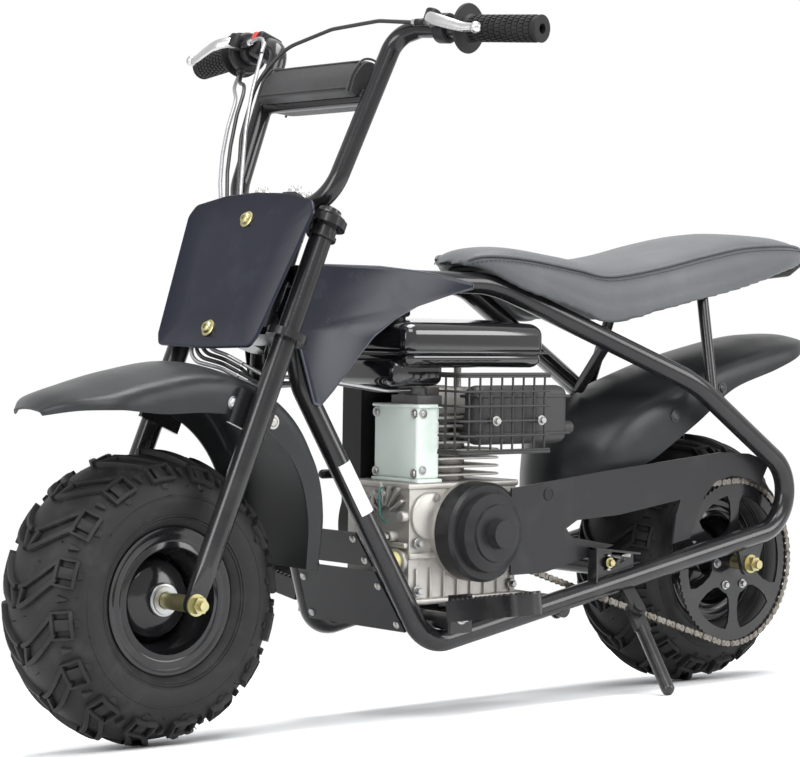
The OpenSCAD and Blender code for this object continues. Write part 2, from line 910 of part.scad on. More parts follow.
sprocket_r = chain_pitch * sprocket_teeth / 360 * 180 / PI;
roller_r = 2.6;
tooth_r = sprocket_r - roller_r - 0.6;
link_half_h = 4.4;
front_sprocket_r = 24;
carrier_r = 24;

module rear_sprocket() {
  color([0.12, 0.12, 0.13])
    parked()
      at_rear()
        difference() {
          union() {
            y_rod(2 * tooth_r, chain_y - 1.5, chain_y + 1.5);
            y_rod(2 * carrier_r, hub_half_w + seat_gap, chain_y + 1.5);
          }
          y_rod(axle_d + 2 * run_gap, 0, chain_y + 10);
          for (i = [0 : 5])
            rotate([0, i * 60, 0])
              translate([68, 0, 0])
                y_rod(42, 0, chain_y + 10);
        }
}

// Chain line seen from the side, offset outwards, as one ring of points
function chain_loop(r_off) =
  let (
    big = sprocket_r + r_off,
    small = front_sprocket_r + r_off,
    dx = wheelbase - crank_x,
    dz = crank_z - axle_z,
    span = norm([dx, dz]),
    tilt = atan2(dz, dx),
    lead = asin((sprocket_r - front_sprocket_r) / span),
    back = 24,
    front = 8
  )
  concat(
    [for (i = [0 : back]) let (g = tilt + 90 - lead + i * (180 + 2 * lead) / back)
      [-wheelbase + big * cos(g), axle_z + big * sin(g)]],
    [for (i = [0 : front]) let (g = tilt - 90 + lead + i * (180 - 2 * lead) / front)
      [-crank_x + small * cos(g), crank_z + small * sin(g)]]
  );

module drive_chain() {
  color([0.45, 0.42, 0.36])
    parked()
      difference() {
        xz_plate(chain_loop(link_half_h), chain_y - 5, 10);
        xz_plate(chain_loop(-link_half_h), chain_y - 6, 12);
        xz_plate(chain_loop(0), chain_y - 2, 4);
      }
}

guard_outline = [
  [-500, 296], [-667, 313], [-820, 326], [-900, 333], [-960, 330], [-1005, 318],
  [-985, 285], [-960, 296], [-925, 300], [-890, 292], [-868, 272], [-852, 240], [-840, 216],
  [-806, 210], [-812, 250], [-820, 270], [-700, 254], [-620, 250], [-600, 240], [-610, 228],
  [-690, 214], [-640, 200], [-560, 184], [-500, 184]
];

guard_y = chain_y + 10;
module chain_guard() {
  color([0.15, 0.15, 0.16])
    parked() {
      xz_plate(guard_outline, guard_y, 3);
      at_crank()
        difference() {
          union() {
            y_revolve([
              [0, guard_y + 3], [cover_r - 4, guard_y + 3], [cover_r, guard_y - 1],
              [cover_r, boss_y], [cover_r - 3, boss_y], [cover_r - 3, guard_y - 3], [0, guard_y - 3]
            ], 64);
            y_revolve([
              [0, guard_y + 1], [52, guard_y + 1], [50, guard_y + 14], [40, guard_y + 20],
              [37, guard_y + 20], [36, guard_y + 23], [20, guard_y + 23], [18, guard_y + 37],
              [0, guard_y + 37]
            ], 64);
          }
          translate([-cover_r - 8, boss_y + 6, -56])
            cube([56, guard_y - boss_y - 10, 100]);
        }
    }
}

module brake_caliper() {
  color([0.2, 0.2, 0.21])
    parked()
      at_rear()
        mirror([0, 1, 0])
          difference() {
            union() {
              translate([-108, chain_y - 12, -18])
                cube([52, 26, 44]);
              translate([-108, axle_plate_y - seat_gap - 12, -14])
                cube([94, 12, 22]);
            }
            y_rod(2 * disc_r + 12, chain_y - 6.7, chain_y + 6.7);
            y_rod(32, 0, axle_plate_y);
          }
}

disc_r = 75;
module brake_disc() {
  color([0.5, 0.5, 0.5])
    parked()
      at_rear()
        mirror([0, 1, 0])
          difference() {
            union() {
              y_rod(2 * disc_r, chain_y - 1.5, chain_y + 1.5);
              y_rod(2 * carrier_r, hub_half_w + seat_gap, chain_y + 1.5);
            }
            y_rod(axle_d + 2 * run_gap, 0, chain_y + 10);
          }
}

module fork_leg() {
  paddle = 8;
  on_fork()
    translate([0, fork_gauge / 2, 0]) {
      translate([0, 0, 46])
        cylinder(d = fork_d, h = upper_clamp_s - 46 + 12);
      hull() {
        translate([0, 0, 46])
          cylinder(d = fork_d, h = 1, $fn = 32);
        translate([-12, -paddle / 2, 14])
          cube([24, paddle, 6]);
      }
      difference() {
        union() {
          translate([-12, -paddle / 2, 0])
            cube([24, paddle, 16]);
          y_rod(24, -paddle / 2, paddle / 2);
        }
        y_rod(axle_d + 2 * run_gap, -paddle, paddle);
      }
      translate([-30, 86 + seat_gap - fork_gauge / 2, 216])
        cube([60, 6, 44]);
    }
}

module fork_left() { color([0.14, 0.14, 0.15]) parked() fork_leg(); }
module fork_right() { color([0.14, 0.14, 0.15]) parked() mirror([0, 1, 0]) fork_leg(); }

module clamp(s) {
  half = fork_gauge / 2;
  translate([0, 0, s - clamp_t / 2])
    difference() {
      union() {
        for (side = [-1, 1])
          translate([0, side * half, 0])
            cylinder(r = 25, h = clamp_t);
        translate([-18, -half, 0])
          cube([36, 2 * half, clamp_t]);
        translate([-steer_offset, 0, 0])
          cylinder(r = 22, h = clamp_t);
      }
      for (side = [-1, 1])
        translate([0, side * half, -1])
          cylinder(d = fork_d + 2 * seat_gap, h = clamp_t + 2);
    }
}

module stem_clamps() {
  color([0.13, 0.13, 0.14])
    parked()
      on_fork() {
        clamp(lower_clamp_s);
        clamp(upper_clamp_s);
        translate([-steer_offset, 0, lower_clamp_s])
          cylinder(d = stem_d, h = upper_clamp_s - lower_clamp_s);
        for (y = [-33, 33])
          difference() {
            translate([-17, y - 12, upper_clamp_s + clamp_t / 2 - 1])
              cube([34, 24, 31]);
            translate([0, y, bar_s])
              y_rod(bar_d + 2 * seat_gap, -20, 20);
          }
      }
}

module front_axle() {
  color([0.62, 0.62, 0.5])
    parked()
      at_front()
        axle(hub_half_w, fork_gauge / 2 - 4, fork_gauge / 2 + 4);
}

bar_side = [
  [0, 94, bar_s], [0, 114, grip_s - 12], [-4, 150, grip_s], [-bar_sweep, bar_half_w - 4, grip_s]
];
bar_side_bends = [48, 30, 24, 0];
bar_path = concat([for (i = [3 : -1 : 0]) [bar_side[i].x, -bar_side[i].y, bar_side[i].z]], bar_side);
bar_bends = concat([for (i = [3 : -1 : 0]) bar_side_bends[i]], bar_side_bends);

module handlebar() {
  color([0.14, 0.14, 0.15])
    parked()
      difference() {
        on_fork() {
          swept_tube(bar_path, bar_bends, bar_d);
          translate([0, 0, cross_s])
            y_rod(cross_d, -108, 108);
        }
        for (side = [0, 1])
          mirror([0, side, 0])
            on_grip()
              translate([0, 0, -60])
                cylinder(r = bar_end_r + 2, h = 70);
      }
}

module bar_pad() {
  color([0.12, 0.12, 0.13])
    parked()
      on_fork()
        translate([0, 0, cross_s])
          difference() {
            union() {
              translate([0, 0, 26])
                y_rod(50, -92, 92);
              translate([-25, -92, -4])
                cube([50, 184, 30]);
            }
            y_rod(cross_d + 2 * seat_gap, -100, 100);
            translate([-cross_d / 2 - seat_gap, -100, -20])
              cube([cross_d + 2 * seat_gap, 200, 20]);
          }
}

grip_from = bar_side[2];
grip_to = bar_side[3];
grip_dir = unit(grip_to - grip_from);

// Grip frame: z along the bar, outwards from its end
module on_grip() {
  on_fork()
    translate(grip_to)
      rotate([0, acos(grip_dir.z), atan2(grip_dir.y, grip_dir.x)])
        children();
}

grip_wall = 6;
module grip() {
  on_grip()
    difference() {
      union() {
        translate([0, 0, grip_wall - grip_len])
          cylinder(d = grip_d, h = grip_len);
        translate([0, 0, grip_wall - grip_len - 4])
          cylinder(d = grip_flange_d, h = 5);
      }
      translate([0, 0, -grip_len - 10])
        cylinder(d = bar_d + 2 * seat_gap, h = grip_len + 10 + seat_gap);
      cylinder(r = bar_end_r, h = 20);
    }
}

module grip_left() { color([0.08, 0.08, 0.09]) parked() grip(); }
module grip_right() { color([0.08, 0.08, 0.09]) parked() mirror([0, 1, 0]) grip(); }

throttle_r = 27;
module lever() {
  on_grip() {
    difference() {
      union() {
        translate([0, 0, -grip_len - 40])
          cylinder(d = bar_d + 10, h = 16);
        translate([-4, -34, -grip_len - 40])
          cube([16, 24, 16]);
      }
      translate([0, 0, -grip_len - 50])
        cylinder(d = bar_d + 2 * seat_gap, h = 40);
    }
    swept_tube([[4, -26, -grip_len - 32], [10, -48, -grip_len - 14], [22, -44, -56]], [0, 14, 0], 9, 12);
    translate([22, -44, -56])
      sphere(r = 7);
    translate([4, -22, -grip_len - 66])
      cylinder(d = 9, h = 27);
  }
}

module throttle_housing() {
  on_grip()
    difference() {
      translate([0, 0, -grip_len - 22])
        cylinder(r = throttle_r, h = 15);
      translate([0, 0, -grip_len - 30])
        cylinder(d = bar_d + 2 * seat_gap, h = 40);
    }
}

module lever_left() { color([0.75, 0.75, 0.74]) parked() lever(); }
module lever_right() {
  color([0.75, 0.75, 0.74])
    parked()
      mirror([0, 1, 0]) {
        lever();
        throttle_housing();
      }
}

plate_outline = [
  [-100, 330], [-86, 312], [-60, 306], [60, 306], [86, 312], [100, 330],
  [125, 484], [118, 498], [60, 510], [0, 513], [-60, 510], [-118, 498], [-125, 484]
];

module number_plate() {
  color([0.12, 0.13, 0.18])
    parked()
      on_fork() {
        translate([plate_x, 0, 0])
          rotate([90, 0, 90])
            linear_extrude(plate_t)
              polygon(plate_outline);
        for (s = [upper_clamp_s, lower_clamp_s])
          translate([18 + seat_gap, -10, s - 5])
            cube([plate_x - 18 - seat_gap, 20, 10]);
      }
}

// Control cables: corner points on the fork, from the bar to the steering axis below the clamp
cable_d = 5;
cable_side = 27;
cable_break = 1.4;
function to_axis(y, s) =
  [[cable_side, y, 430], [cable_side, y, s], [2, 0, s], [cable_break - steer_offset, 0, s]];
bar_runs = [
  concat([[17, 158, 745], [26, 105, 747], [28, 20, 742], [29, -60, 722], [28, -100, 680],
    [27, -92, 600], [cable_side, -52, 510]], to_axis(-23, 306)),
  concat([[17, -157.6, 745], [28, -112, 752], [37, -98, 720], [37, -87, 655], [33, -78, 605],
    [28, -60, 545], [cable_side, -42, 500]], to_axis(-16, 312)),
  concat([[-15, -203, 719.5], [-6, -190, 700], [14, -140, 682], [25, -121, 634], [27, -107, 587],
    [27, -94, 550], [cable_side, -68, 500]], to_axis(-30, 300)),
  concat([[-17, -211, 719.5], [-8, -200, 695], [12, -154, 664], [24, -132, 615], [26, -119, 575],
    [27, -101, 535], [cable_side, -77, 495]], to_axis(-37, 294))
];
bar_run_bends = [0, 60, 60, 60, 60, 60, 80, 80, 18, 15, 0];

module bar_cables() {
  color([0.1, 0.1, 0.1])
    parked()
      on_fork()
        for (run = bar_runs)
          swept_tube(run, bar_run_bends, cable_d, 8);
}

function from_fork(p) =
  [p.x * cos(rake) - p.z * sin(rake), p.y, axle_z + p.x * sin(rake) + p.z * cos(rake)];

// Their continuation in the frame, from the steering axis to the brake and the carburettor
frame_runs = [
  [[-50, -12, 306], [[-205, -16, 398], [-240, -36, 378], [-332, -72, 180], [-358, -84, 152],
    [-610, -98, 154], [-730, -101, 193], [-900, -106.5, 208], [-1017, -106.5, 226],
    [-1020, -106.5, 203.8]]],
  [[-60, 0, 312], [[-290, 14, 430], [-350, 34, 420.5], [-389.6, 34, 420.5]]],
  [[-60, 0, 300], [[-290, 4, 430], [-350, 26, 420.5], [-389.4, 26, 420.5]]],
  [[-60, 0, 294], [[-290, -6, 430], [-350, 18, 420.5], [-393.2, 18, 420.5]]]
];

module frame_cables() {
  color([0.1, 0.1, 0.1])
    parked()
      for (line = frame_runs) {
        axis_end = [-steer_offset - cable_break, 0, line[0].z];
        run = concat([from_fork(axis_end), from_fork(line[0])], line[1]);
        bends = [for (j = [1 : len(run) - 2]) j == len(run) - 2 && len(run) > 8 ? 14 : 30];
        swept_tube(run, concat([0], bends, [0]), cable_d, 8);
      }
}

pivot_above_floor = hub_height - stand_y * sin(lean) + (stand_z - axle_z) * cos(lean);
stand_len = (pivot_above_floor - stand_d / 2) / (cos(stand_splay - lean) * cos(stand_forward));
stand_neck = 28;

module side_stand() {
  color([0.14, 0.14, 0.15])
    parked()
      at_stand()
        rotate([0, -stand_forward, 0]) {
          difference() {
            union() {
              translate([0, 0, -stand_len])
                cylinder(d = stand_d, h = stand_len - stand_neck);
              translate([-stand_boss / 2, -stand_half_t, -stand_neck - 4])
                cube([stand_boss, 2 * stand_half_t, stand_neck + 4]);
              y_rod(stand_boss, -stand_half_t, stand_half_t);
            }
            y_rod(stand_pin_d + 2 * run_gap, -10, 10);
          }
          translate([0, 0, -stand_len])
            sphere(d = stand_d);
        }
}

frame_left();
frame_right();
frame_cross();
skid_plate();
side_panel_left();
side_panel_right();
seat_base();
seat_cushion();
rear_fender();
rear_axle();
peg_left();
peg_right();
crankcase();
cylinder_node();  // cylinder
air_shroud();
recoil_starter();
fuel_tank();
carburettor();
muffler();
muffler_guard();
oil_cap();
chain_guard();
drive_chain();
brake_caliper();
fork_left();
fork_right();
stem_clamps();
front_axle();
handlebar();
bar_pad();
grip_left();
grip_right();
lever_left();
lever_right();
number_plate();
front_fender();
front_tyre();
front_rim();
rear_tyre();
rear_rim();
rear_sprocket();
brake_disc();
side_stand();
bar_cables();
frame_cables();
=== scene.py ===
import math

import bmesh
import bpy
import numpy as np
from bpy.props import FloatProperty, IntProperty, PointerProperty
from mathutils import Matrix, Vector


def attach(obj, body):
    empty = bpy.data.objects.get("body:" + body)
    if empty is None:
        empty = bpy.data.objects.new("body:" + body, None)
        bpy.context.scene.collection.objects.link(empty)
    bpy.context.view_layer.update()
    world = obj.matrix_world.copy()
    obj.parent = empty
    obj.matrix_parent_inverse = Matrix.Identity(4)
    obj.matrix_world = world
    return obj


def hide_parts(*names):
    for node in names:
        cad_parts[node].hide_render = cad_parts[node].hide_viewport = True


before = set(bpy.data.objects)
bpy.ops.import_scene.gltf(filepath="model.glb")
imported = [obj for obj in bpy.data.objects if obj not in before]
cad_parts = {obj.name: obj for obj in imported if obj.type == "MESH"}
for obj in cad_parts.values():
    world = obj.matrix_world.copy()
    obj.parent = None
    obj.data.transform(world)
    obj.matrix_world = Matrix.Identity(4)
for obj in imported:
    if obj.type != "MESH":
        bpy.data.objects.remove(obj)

bl_info = {
    "name": "Minibike dressing",
    "version": (1, 0, 0),
    "blender": (4, 5, 0),
    "location": "View3D > Sidebar > Minibike",
    "description": "Builds the visible pieces, materials and stage of a petrol minibike on its CAD frame",
    "category": "Object",
}

MM = 0.001
LEAN = math.radians(7.0)
RAKE = math.radians(23.0)
TYRE_R = 177.0
LUG_H = 7.0
CROWN_R = 88.0
WHEELBASE = 945.0
TREAD_CENTRE_R = TYRE_R - LUG_H - CROWN_R
HUB_HEIGHT = TREAD_CENTRE_R * math.cos(LEAN) + CROWN_R + LUG_H
SHIFT_X = (1166.0 + 5.0 - TYRE_R) / 2
SHIFT_Y = -((330.0 - 158.0 - 132.0) * math.cos(LEAN) + 749.0 * math.cos(RAKE) * math.sin(LEAN) + 7.5) / 2
TUBE_R = 14.0
CHAIN_Y = 97.0
CHAIN_PITCH = 10.0
TEETH = 72
SPROCKET_R = TEETH * CHAIN_PITCH / (2 * math.pi)
CLUTCH_R = 24.0
CLUTCH_X, CLUTCH_Z = -458.0, 241.0

PARKED = (
    Matrix.Translation(Vector((SHIFT_X, SHIFT_Y, HUB_HEIGHT)) * MM)
    @ Matrix.Rotation(-LEAN, 4, "X")
    @ Matrix.Translation(Vector((0, 0, -TYRE_R)) * MM)
    @ Matrix.Scale(MM, 4)
)
ON_FORK = Matrix.Translation(Vector((0, 0, TYRE_R))) @ Matrix.Rotation(-RAKE, 4, "Y")
FLIP = Matrix.Scale(-1, 4, Vector((0, 1, 0)))


def v3(x, y, z):
    return Vector((x, y, z))


def shift(x, y, z):
    return Matrix.Translation(v3(x, y, z))


def spin(angle, axis):
    return Matrix.Rotation(angle, 4, axis)


class Shell:
    """Collects vertices and faces in the bike's upright frame, in millimetres."""

    def __init__(self):
        self.verts = []
        self.faces = []
        self.marks = []

    def add(self, verts, faces):
        start = len(self.verts)
        self.verts.extend(Vector(v) for v in verts)
        self.faces.extend(tuple(start + i for i in f) for f in faces)
        self.marks.extend([0] * len(faces))

    def merge(self, other, matrix=None):
        verts = [matrix @ v for v in other.verts] if matrix else other.verts
        flip = matrix is not None and matrix.to_3x3().determinant() < 0
        start = len(self.verts)
        self.verts.extend(verts)
        for face in other.faces:
            self.faces.append(tuple(start + i for i in (reversed(face) if flip else face)))
        self.marks.extend(other.marks)

    def moved(self, matrix):
        out = Shell()
        out.merge(self, matrix)
        return out


def grid_faces(rows, columns, wrap_rows=False, wrap_columns=True):
    faces = []
    for i in range(rows if wrap_rows else rows - 1):
        for j in range(columns if wrap_columns else columns - 1):
            a, b = i * columns + j, i * columns + (j + 1) % columns
            c, d = (i + 1) % rows * columns + (j + 1) % columns, (i + 1) % rows * columns + j
            faces.append((a, b, c, d))
    return faces


def loops_shell(loops, closed_ends=True, wrap=False):
    """Skin through loops of equally many points."""
    shell = Shell()
    n = len(loops[0])
    verts = [p for loop in loops for p in loop]
    faces = grid_faces(len(loops), n, wrap_rows=wrap)
    if closed_ends and not wrap:
        faces.append(tuple(range(n - 1, -1, -1)))
        last = (len(loops) - 1) * n
        faces.append(tuple(range(last, last + n)))
    shell.add(verts, faces)
    return shell


def frames_along(points):
    """Rotation-minimising frames along a polyline: (point, normal, binormal, tangent)."""
    pts = [Vector(p) for p in points]
    out = []
    normal = None
    for i, p in enumerate(pts):
        a = pts[max(i - 1, 0)]
        b = pts[min(i + 1, len(pts) - 1)]
        t = (b - a).normalized()
        if normal is None:
            ref = v3(0, 0, 1) if abs(t.z) < 0.9 else v3(1, 0, 0)
            normal = (ref - ref.dot(t) * t).normalized()
        else:
            normal = (normal - normal.dot(t) * t).normalized()
        out.append((p, normal, t.cross(normal), t))
    return out


def rounded_path(path, bends, step=8.0):
    """Corner points turned into straight runs and arcs."""
    pts = [Vector(path[0])]
    for i in range(1, len(path) - 1):
        a, p, b = Vector(path[i - 1]), Vector(path[i]), Vector(path[i + 1])
        u, w = (p - a).normalized(), (b - p).normalized()
        angle = u.angle(w)
        bend = bends[i]
        inward = (w - u * math.cos(angle)).normalized()
        centre = p - u * bend * math.tan(angle / 2) + inward * bend
        steps = max(3, int(math.degrees(angle) / step) + 1)
        for k in range(steps + 1):
            g = angle * k / steps
            pts.append(centre + bend * (u * math.sin(g) - inward * math.cos(g)))
    pts.append(Vector(path[-1]))
    return pts


def tube(points, radius, sides=32, ends=True):
    """Round tube along points; radius is a number or a function of the fraction along."""
    loops = []
    count = len(points)
    for i, (p, n, b, _) in enumerate(frames_along(points)):
        r = radius(i / (count - 1)) if callable(radius) else radius
        loops.append([
            p + r * (n * math.cos(g) + b * math.sin(g))
            for g in (2 * math.pi * k / sides for k in range(sides))
        ])
    return loops_shell(loops, closed_ends=ends)


def revolve(profile, segments=96, axis="Y", centre=(0, 0, 0)):
    """Closed or open profile of (radius, along) pairs turned about an axis through centre."""
    loops = []
    for r, along in profile:
        loop = []
        for k in range(segments):
            g = 2 * math.pi * k / segments
            c, s = r * math.cos(g), r * math.sin(g)
            if axis == "Y":
                loop.append(v3(s, along, c) + Vector(centre))
            elif axis == "Z":
                loop.append(v3(c, s, along) + Vector(centre))
            else:
                loop.append(v3(along, c, s) + Vector(centre))
        loops.append(loop)
    return loops_shell(loops, closed_ends=False)


def lathe_solid(profile, segments=64, axis="Y", centre=(0, 0, 0)):
    """Profile that starts and ends on the axis, closed by small end discs."""
    body = revolve(profile, segments, axis, centre)
    n = segments
    last = (len(profile) - 1) * n
    body.faces.append(tuple(range(n - 1, -1, -1)))
    body.faces.append(tuple(range(last, last + n)))
    body.marks.extend([0, 0])
    return body


def smooth_curve(points, count):
    """Catmull-Rom through tuples of numbers, resampled evenly by chord length."""
    pts = np.array(points, dtype=float)
    ext = np.vstack([2 * pts[0] - pts[1], pts, 2 * pts[-1] - pts[-2]])
    dense = []
    for i in range(1, len(ext) - 2):
        p0, p1, p2, p3 = ext[i - 1], ext[i], ext[i + 1], ext[i + 2]
        for t in np.linspace(0, 1, 14, endpoint=False):
            dense.append(0.5 * (2 * p1 + (p2 - p0) * t + (2 * p0 - 5 * p1 + 4 * p2 - p3) * t * t
                                + (3 * p1 - p0 - 3 * p2 + p3) * t ** 3))
    dense.append(pts[-1])
    dense = np.array(dense)
    size = np.concatenate([[0], np.cumsum(np.linalg.norm(np.diff(dense, axis=0), axis=1))])
    want = np.linspace(0, size[-1], count)
    return np.stack([np.interp(want, size, dense[:, k]) for k in range(dense.shape[1])], axis=1)


def prism(outline, y0, y1):
    """Outline in x, z pushed along y."""
    n = len(outline)
    verts = [v3(x, y0, z) for x, z in outline] + [v3(x, y1, z) for x, z in outline]
    faces = [tuple(range(n)), tuple(range(2 * n - 1, n - 1, -1))]
    faces += [(i, n + i, n + (i + 1) % n, (i + 1) % n) for i in range(n)]
    shell = Shell()
    shell.add(verts, faces)
    return shell


def round_outline(points, radius, steps=5):
    """Two-dimensional outline with rounded corners; radius is one number or one per corner."""
    n = len(points)
    out = []
    for i in range(n):
        p = Vector(points[i])
        a, b = Vector(points[i - 1]), Vector(points[(i + 1) % n])
        r = radius[i] if isinstance(radius, (list, tuple)) else radius
        u, w = (a - p), (b - p)
        angle = u.angle(w)
        cut = min(r / max(math.tan(angle / 2), 1e-3), u.length * 0.45, w.length * 0.45)
        if cut < 0.2 or angle > 3.0:
            out.append(tuple(p))
            continue
        p0, p1 = p + u.normalized() * cut, p + w.normalized() * cut
        for k in range(steps + 1):
            t = k / steps
            q = p0 * (1 - t) ** 2 + p * 2 * t * (1 - t) + p1 * t * t
            out.append((q.x, q.y))
    return out


def box_shell(low, high):
    x0, y0, z0 = low
    x1, y1, z1 = high
    shell = Shell()
    shell.add(
        [(x0, y0, z0), (x1, y0, z0), (x1, y1, z0), (x0, y1, z0), (x0, y0, z1), (x1, y0, z1), (x1, y1, z1),
         (x0, y1, z1)],
        [(0, 3, 2, 1), (4, 5, 6, 7), (0, 1, 5, 4), (1, 2, 6, 5), (2, 3, 7, 6), (3, 0, 4, 7)])
    return shell


def lying(start, end):
    """Matrix that carries the z axis onto the line from start to end."""
    start, end = Vector(start), Vector(end)
    turn = v3(0, 0, 1).rotation_difference((end - start).normalized())
    return Matrix.Translation(start) @ turn.to_matrix().to_4x4()


def hex_profile(across, height, chamfer=1.0):
    """Hexagon bolt head standing on z = 0."""
    r = across / 2 / math.cos(math.pi / 6)
    loops = []
    for rr, z in ((r, 0), (r, height - chamfer), (r - chamfer * 0.8, height), (r * 0.45, height)):
        loops.append([v3(rr * math.cos(g), rr * math.sin(g), z)
                      for g in (math.pi * k / 3 for k in range(6))])
    return loops_shell(loops)


def bolt(across=13.0, washer=20.0, height=6.0, stud=0.0):
    """Washer, hexagon head and an optional stud end, standing on z = 0."""
    shell = lathe_solid([(0.1, 0), (washer / 2, 0), (washer / 2, 1.2), (washer / 2 - 0.5, 1.7), (0.1, 1.7)],
                        32, "Z")
    shell.merge(hex_profile(across, height), shift(0, 0, 1.6))
    if stud:
        shell.merge(lathe_solid([(0.1, 0), (across * 0.28, 0), (across * 0.28, stud - 0.8),
                                 (across * 0.2, stud), (0.1, stud)], 24, "Z"),
                    shift(0, 0, 1.6 + height))
    return shell


def pan_screw(radius=6.0, height=3.2):
    """Domed screw with a sunk cross, standing on z = 0."""
    shell = lathe_solid([(0.1, 0), (radius * 1.45, 0), (radius * 1.45, 1.0), (radius * 1.02, 1.15),
                         (radius, 1.6), (radius * 0.86, 1 + height * 0.6),
                         (radius * 0.5, 1 + height * 0.92), (0.1, 1 + height)], 32, "Z")
    for turn in (0, math.pi / 2):
        slot = box_shell((-radius * 0.52, -radius * 0.11, height * 0.8),
                         (radius * 0.52, radius * 0.11, 1 + height + 0.05))
        shell.merge(slot, spin(turn, "Z"))
    return shell


class Maths:
    """A number in a shader: arithmetic on it adds Math nodes."""

    def __init__(self, shade, socket):
        self.shade = shade
        self.socket = socket

    def _op(self, kind, a, b):
        node = self.shade.nodes.new("ShaderNodeMath")
        node.operation = kind
        self.shade.feed(node.inputs[0], a)
        self.shade.feed(node.inputs[1], b)
        return Maths(self.shade, node.outputs[0])

    def __add__(self, o): return self._op("ADD", self, o)
    def __radd__(self, o): return self._op("ADD", self, o)
    def __sub__(self, o): return self._op("SUBTRACT", self, o)
    def __rsub__(self, o): return self._op("SUBTRACT", o, self)
    def __mul__(self, o): return self._op("MULTIPLY", self, o)
    def __rmul__(self, o): return self._op("MULTIPLY", self, o)
    def __pow__(self, o): return self._op("POWER", self, o)

    def ramp(self, low, high, out_low=0.0, out_high=1.0):
        node = self.shade.nodes.new("ShaderNodeMapRange")
        node.interpolation_type = "SMOOTHSTEP"
        self.shade.feed(node.inputs["Value"], self)
        for name, value in (("From Min", low), ("From Max", high), ("To Min", out_low),
                            ("To Max", out_high)):
            node.inputs[name].default_value = value
        return Maths(self.shade, node.outputs[0])


class Shade:
    """One material, built node by node."""

    def __init__(self, name):
        self.material = bpy.data.materials.new(name)
        self.material.use_nodes = True
        self.nodes = self.material.node_tree.nodes
        self.links = self.material.node_tree.links
        self.nodes.clear()
        self.out = self.nodes.new("ShaderNodeOutputMaterial")
        self.coords = self.nodes.new("ShaderNodeTexCoord").outputs["Object"]

    def feed(self, socket, value):
        if isinstance(value, Maths):
            self.links.new(value.socket, socket)
        elif isinstance(value, bpy.types.NodeSocket):
            self.links.new(value, socket)
        else:
            socket.default_value = value

    def add(self, kind, settings=(), **inputs):
        node = self.nodes.new(kind)
        for key, value in dict(settings).items():
            setattr(node, key, value)
        for key, value in inputs.items():
            self.feed(node.inputs[key.replace("_", " ")], value)
        return node.outputs[0]

    def stretched(self, scale=(1, 1, 1), turn=(0, 0, 0)):
        return self.add("ShaderNodeMapping", Vector=self.coords, Scale=scale, Rotation=turn)

    def noise(self, scale, detail=3.0, rough=0.55, vector=None, distort=0.0):
        return Maths(self, self.add("ShaderNodeTexNoise", Vector=vector or self.coords, Scale=scale,
                                    Detail=detail, Roughness=rough, Distortion=distort))

    def cells(self, scale, feature="F1", vector=None, randomness=1.0):
        return Maths(self, self.add("ShaderNodeTexVoronoi", settings={"feature": feature},
                                    Vector=vector or self.coords, Scale=scale, Randomness=randomness))

    def place(self):
        node = self.nodes.new("ShaderNodeSeparateXYZ")
        self.links.new(self.coords, node.inputs[0])
        return [Maths(self, o) for o in node.outputs]

    def blend(self, factor, a, b):
        node = self.nodes.new("ShaderNodeMix")
        node.data_type = "RGBA"
        self.feed(node.inputs[0], factor)
        for socket, value in ((node.inputs[6], a), (node.inputs[7], b)):
            self.feed(socket, (*value, 1.0) if isinstance(value, tuple) and len(value) == 3 else value)
        return node.outputs[2]

    def bump(self, height, strength, distance, under=None):
        node = self.nodes.new("ShaderNodeBump")
        self.feed(node.inputs["Height"], height)
        node.inputs["Strength"].default_value = strength
        node.inputs["Distance"].default_value = distance
        if under is not None:
            self.links.new(under, node.inputs["Normal"])
        return node.outputs[0]

    def finish(self, colour, rough, metal=0.0, normal=None, coat=0.0, coat_rough=0.1, specular=0.5,
               sheen=0.0):
        node = self.nodes.new("ShaderNodeBsdfPrincipled")
        self.feed(node.inputs["Base Color"], (*colour, 1.0) if isinstance(colour, tuple) else colour)
        self.feed(node.inputs["Roughness"], rough)
        self.feed(node.inputs["Metallic"], metal)
        self.feed(node.inputs["Coat Weight"], coat)
        node.inputs["Coat Roughness"].default_value = coat_rough
        node.inputs["Specular IOR Level"].default_value = specular
        node.inputs["Sheen Weight"].default_value = sheen
        if normal is not None:
            self.links.new(normal, node.inputs["Normal"])
        self.links.new(node.outputs[0], self.out.inputs["Surface"])
        return self.material


def painted(name, base, dust=(0.16, 0.15, 0.14), rough=0.22, amount=0.1, coat=0.2):
    """Gloss paint with orange peel, hairline scratches and a film of dust low down."""
    s = Shade(name)
    _, _, z = s.place()
    patches = s.noise(14.0, 4.0).ramp(0.42, 0.75)
    low = z.ramp(0.05, 0.45, 1.0, 0.25)
    film = patches * low * amount
    scratch = s.noise(900.0, 2.0, vector=s.stretched((1.0, 0.05, 0.08), (0.3, 0.2, 0.5))).ramp(0.66, 0.72)
    colour = s.blend(film, base, dust)
    normal = s.bump(s.noise(260.0, 2.0), 0.08, 0.0006)
    return s.finish(colour, film * 0.6 + rough + scratch * 0.12, normal=normal, coat=coat, coat_rough=0.08,
                    specular=0.25)


def satin_plastic(name, base, rough=0.42, grain=1500.0, light=None):
    """Moulded plastic with a fine grain, slightly paler where it has been rubbed."""
    s = Shade(name)
    rub = s.noise(22.0, 5.0).ramp(0.5, 0.8)
    colour = s.blend(rub * 0.35, base, light or tuple(c * 1.9 + 0.01 for c in base))
    normal = s.bump(s.noise(grain, 2.0), 0.16, 0.0003, s.bump(s.noise(60.0, 2.0), 0.05, 0.001))
    return s.finish(colour, rub * 0.12 + rough, normal=normal, specular=0.2)


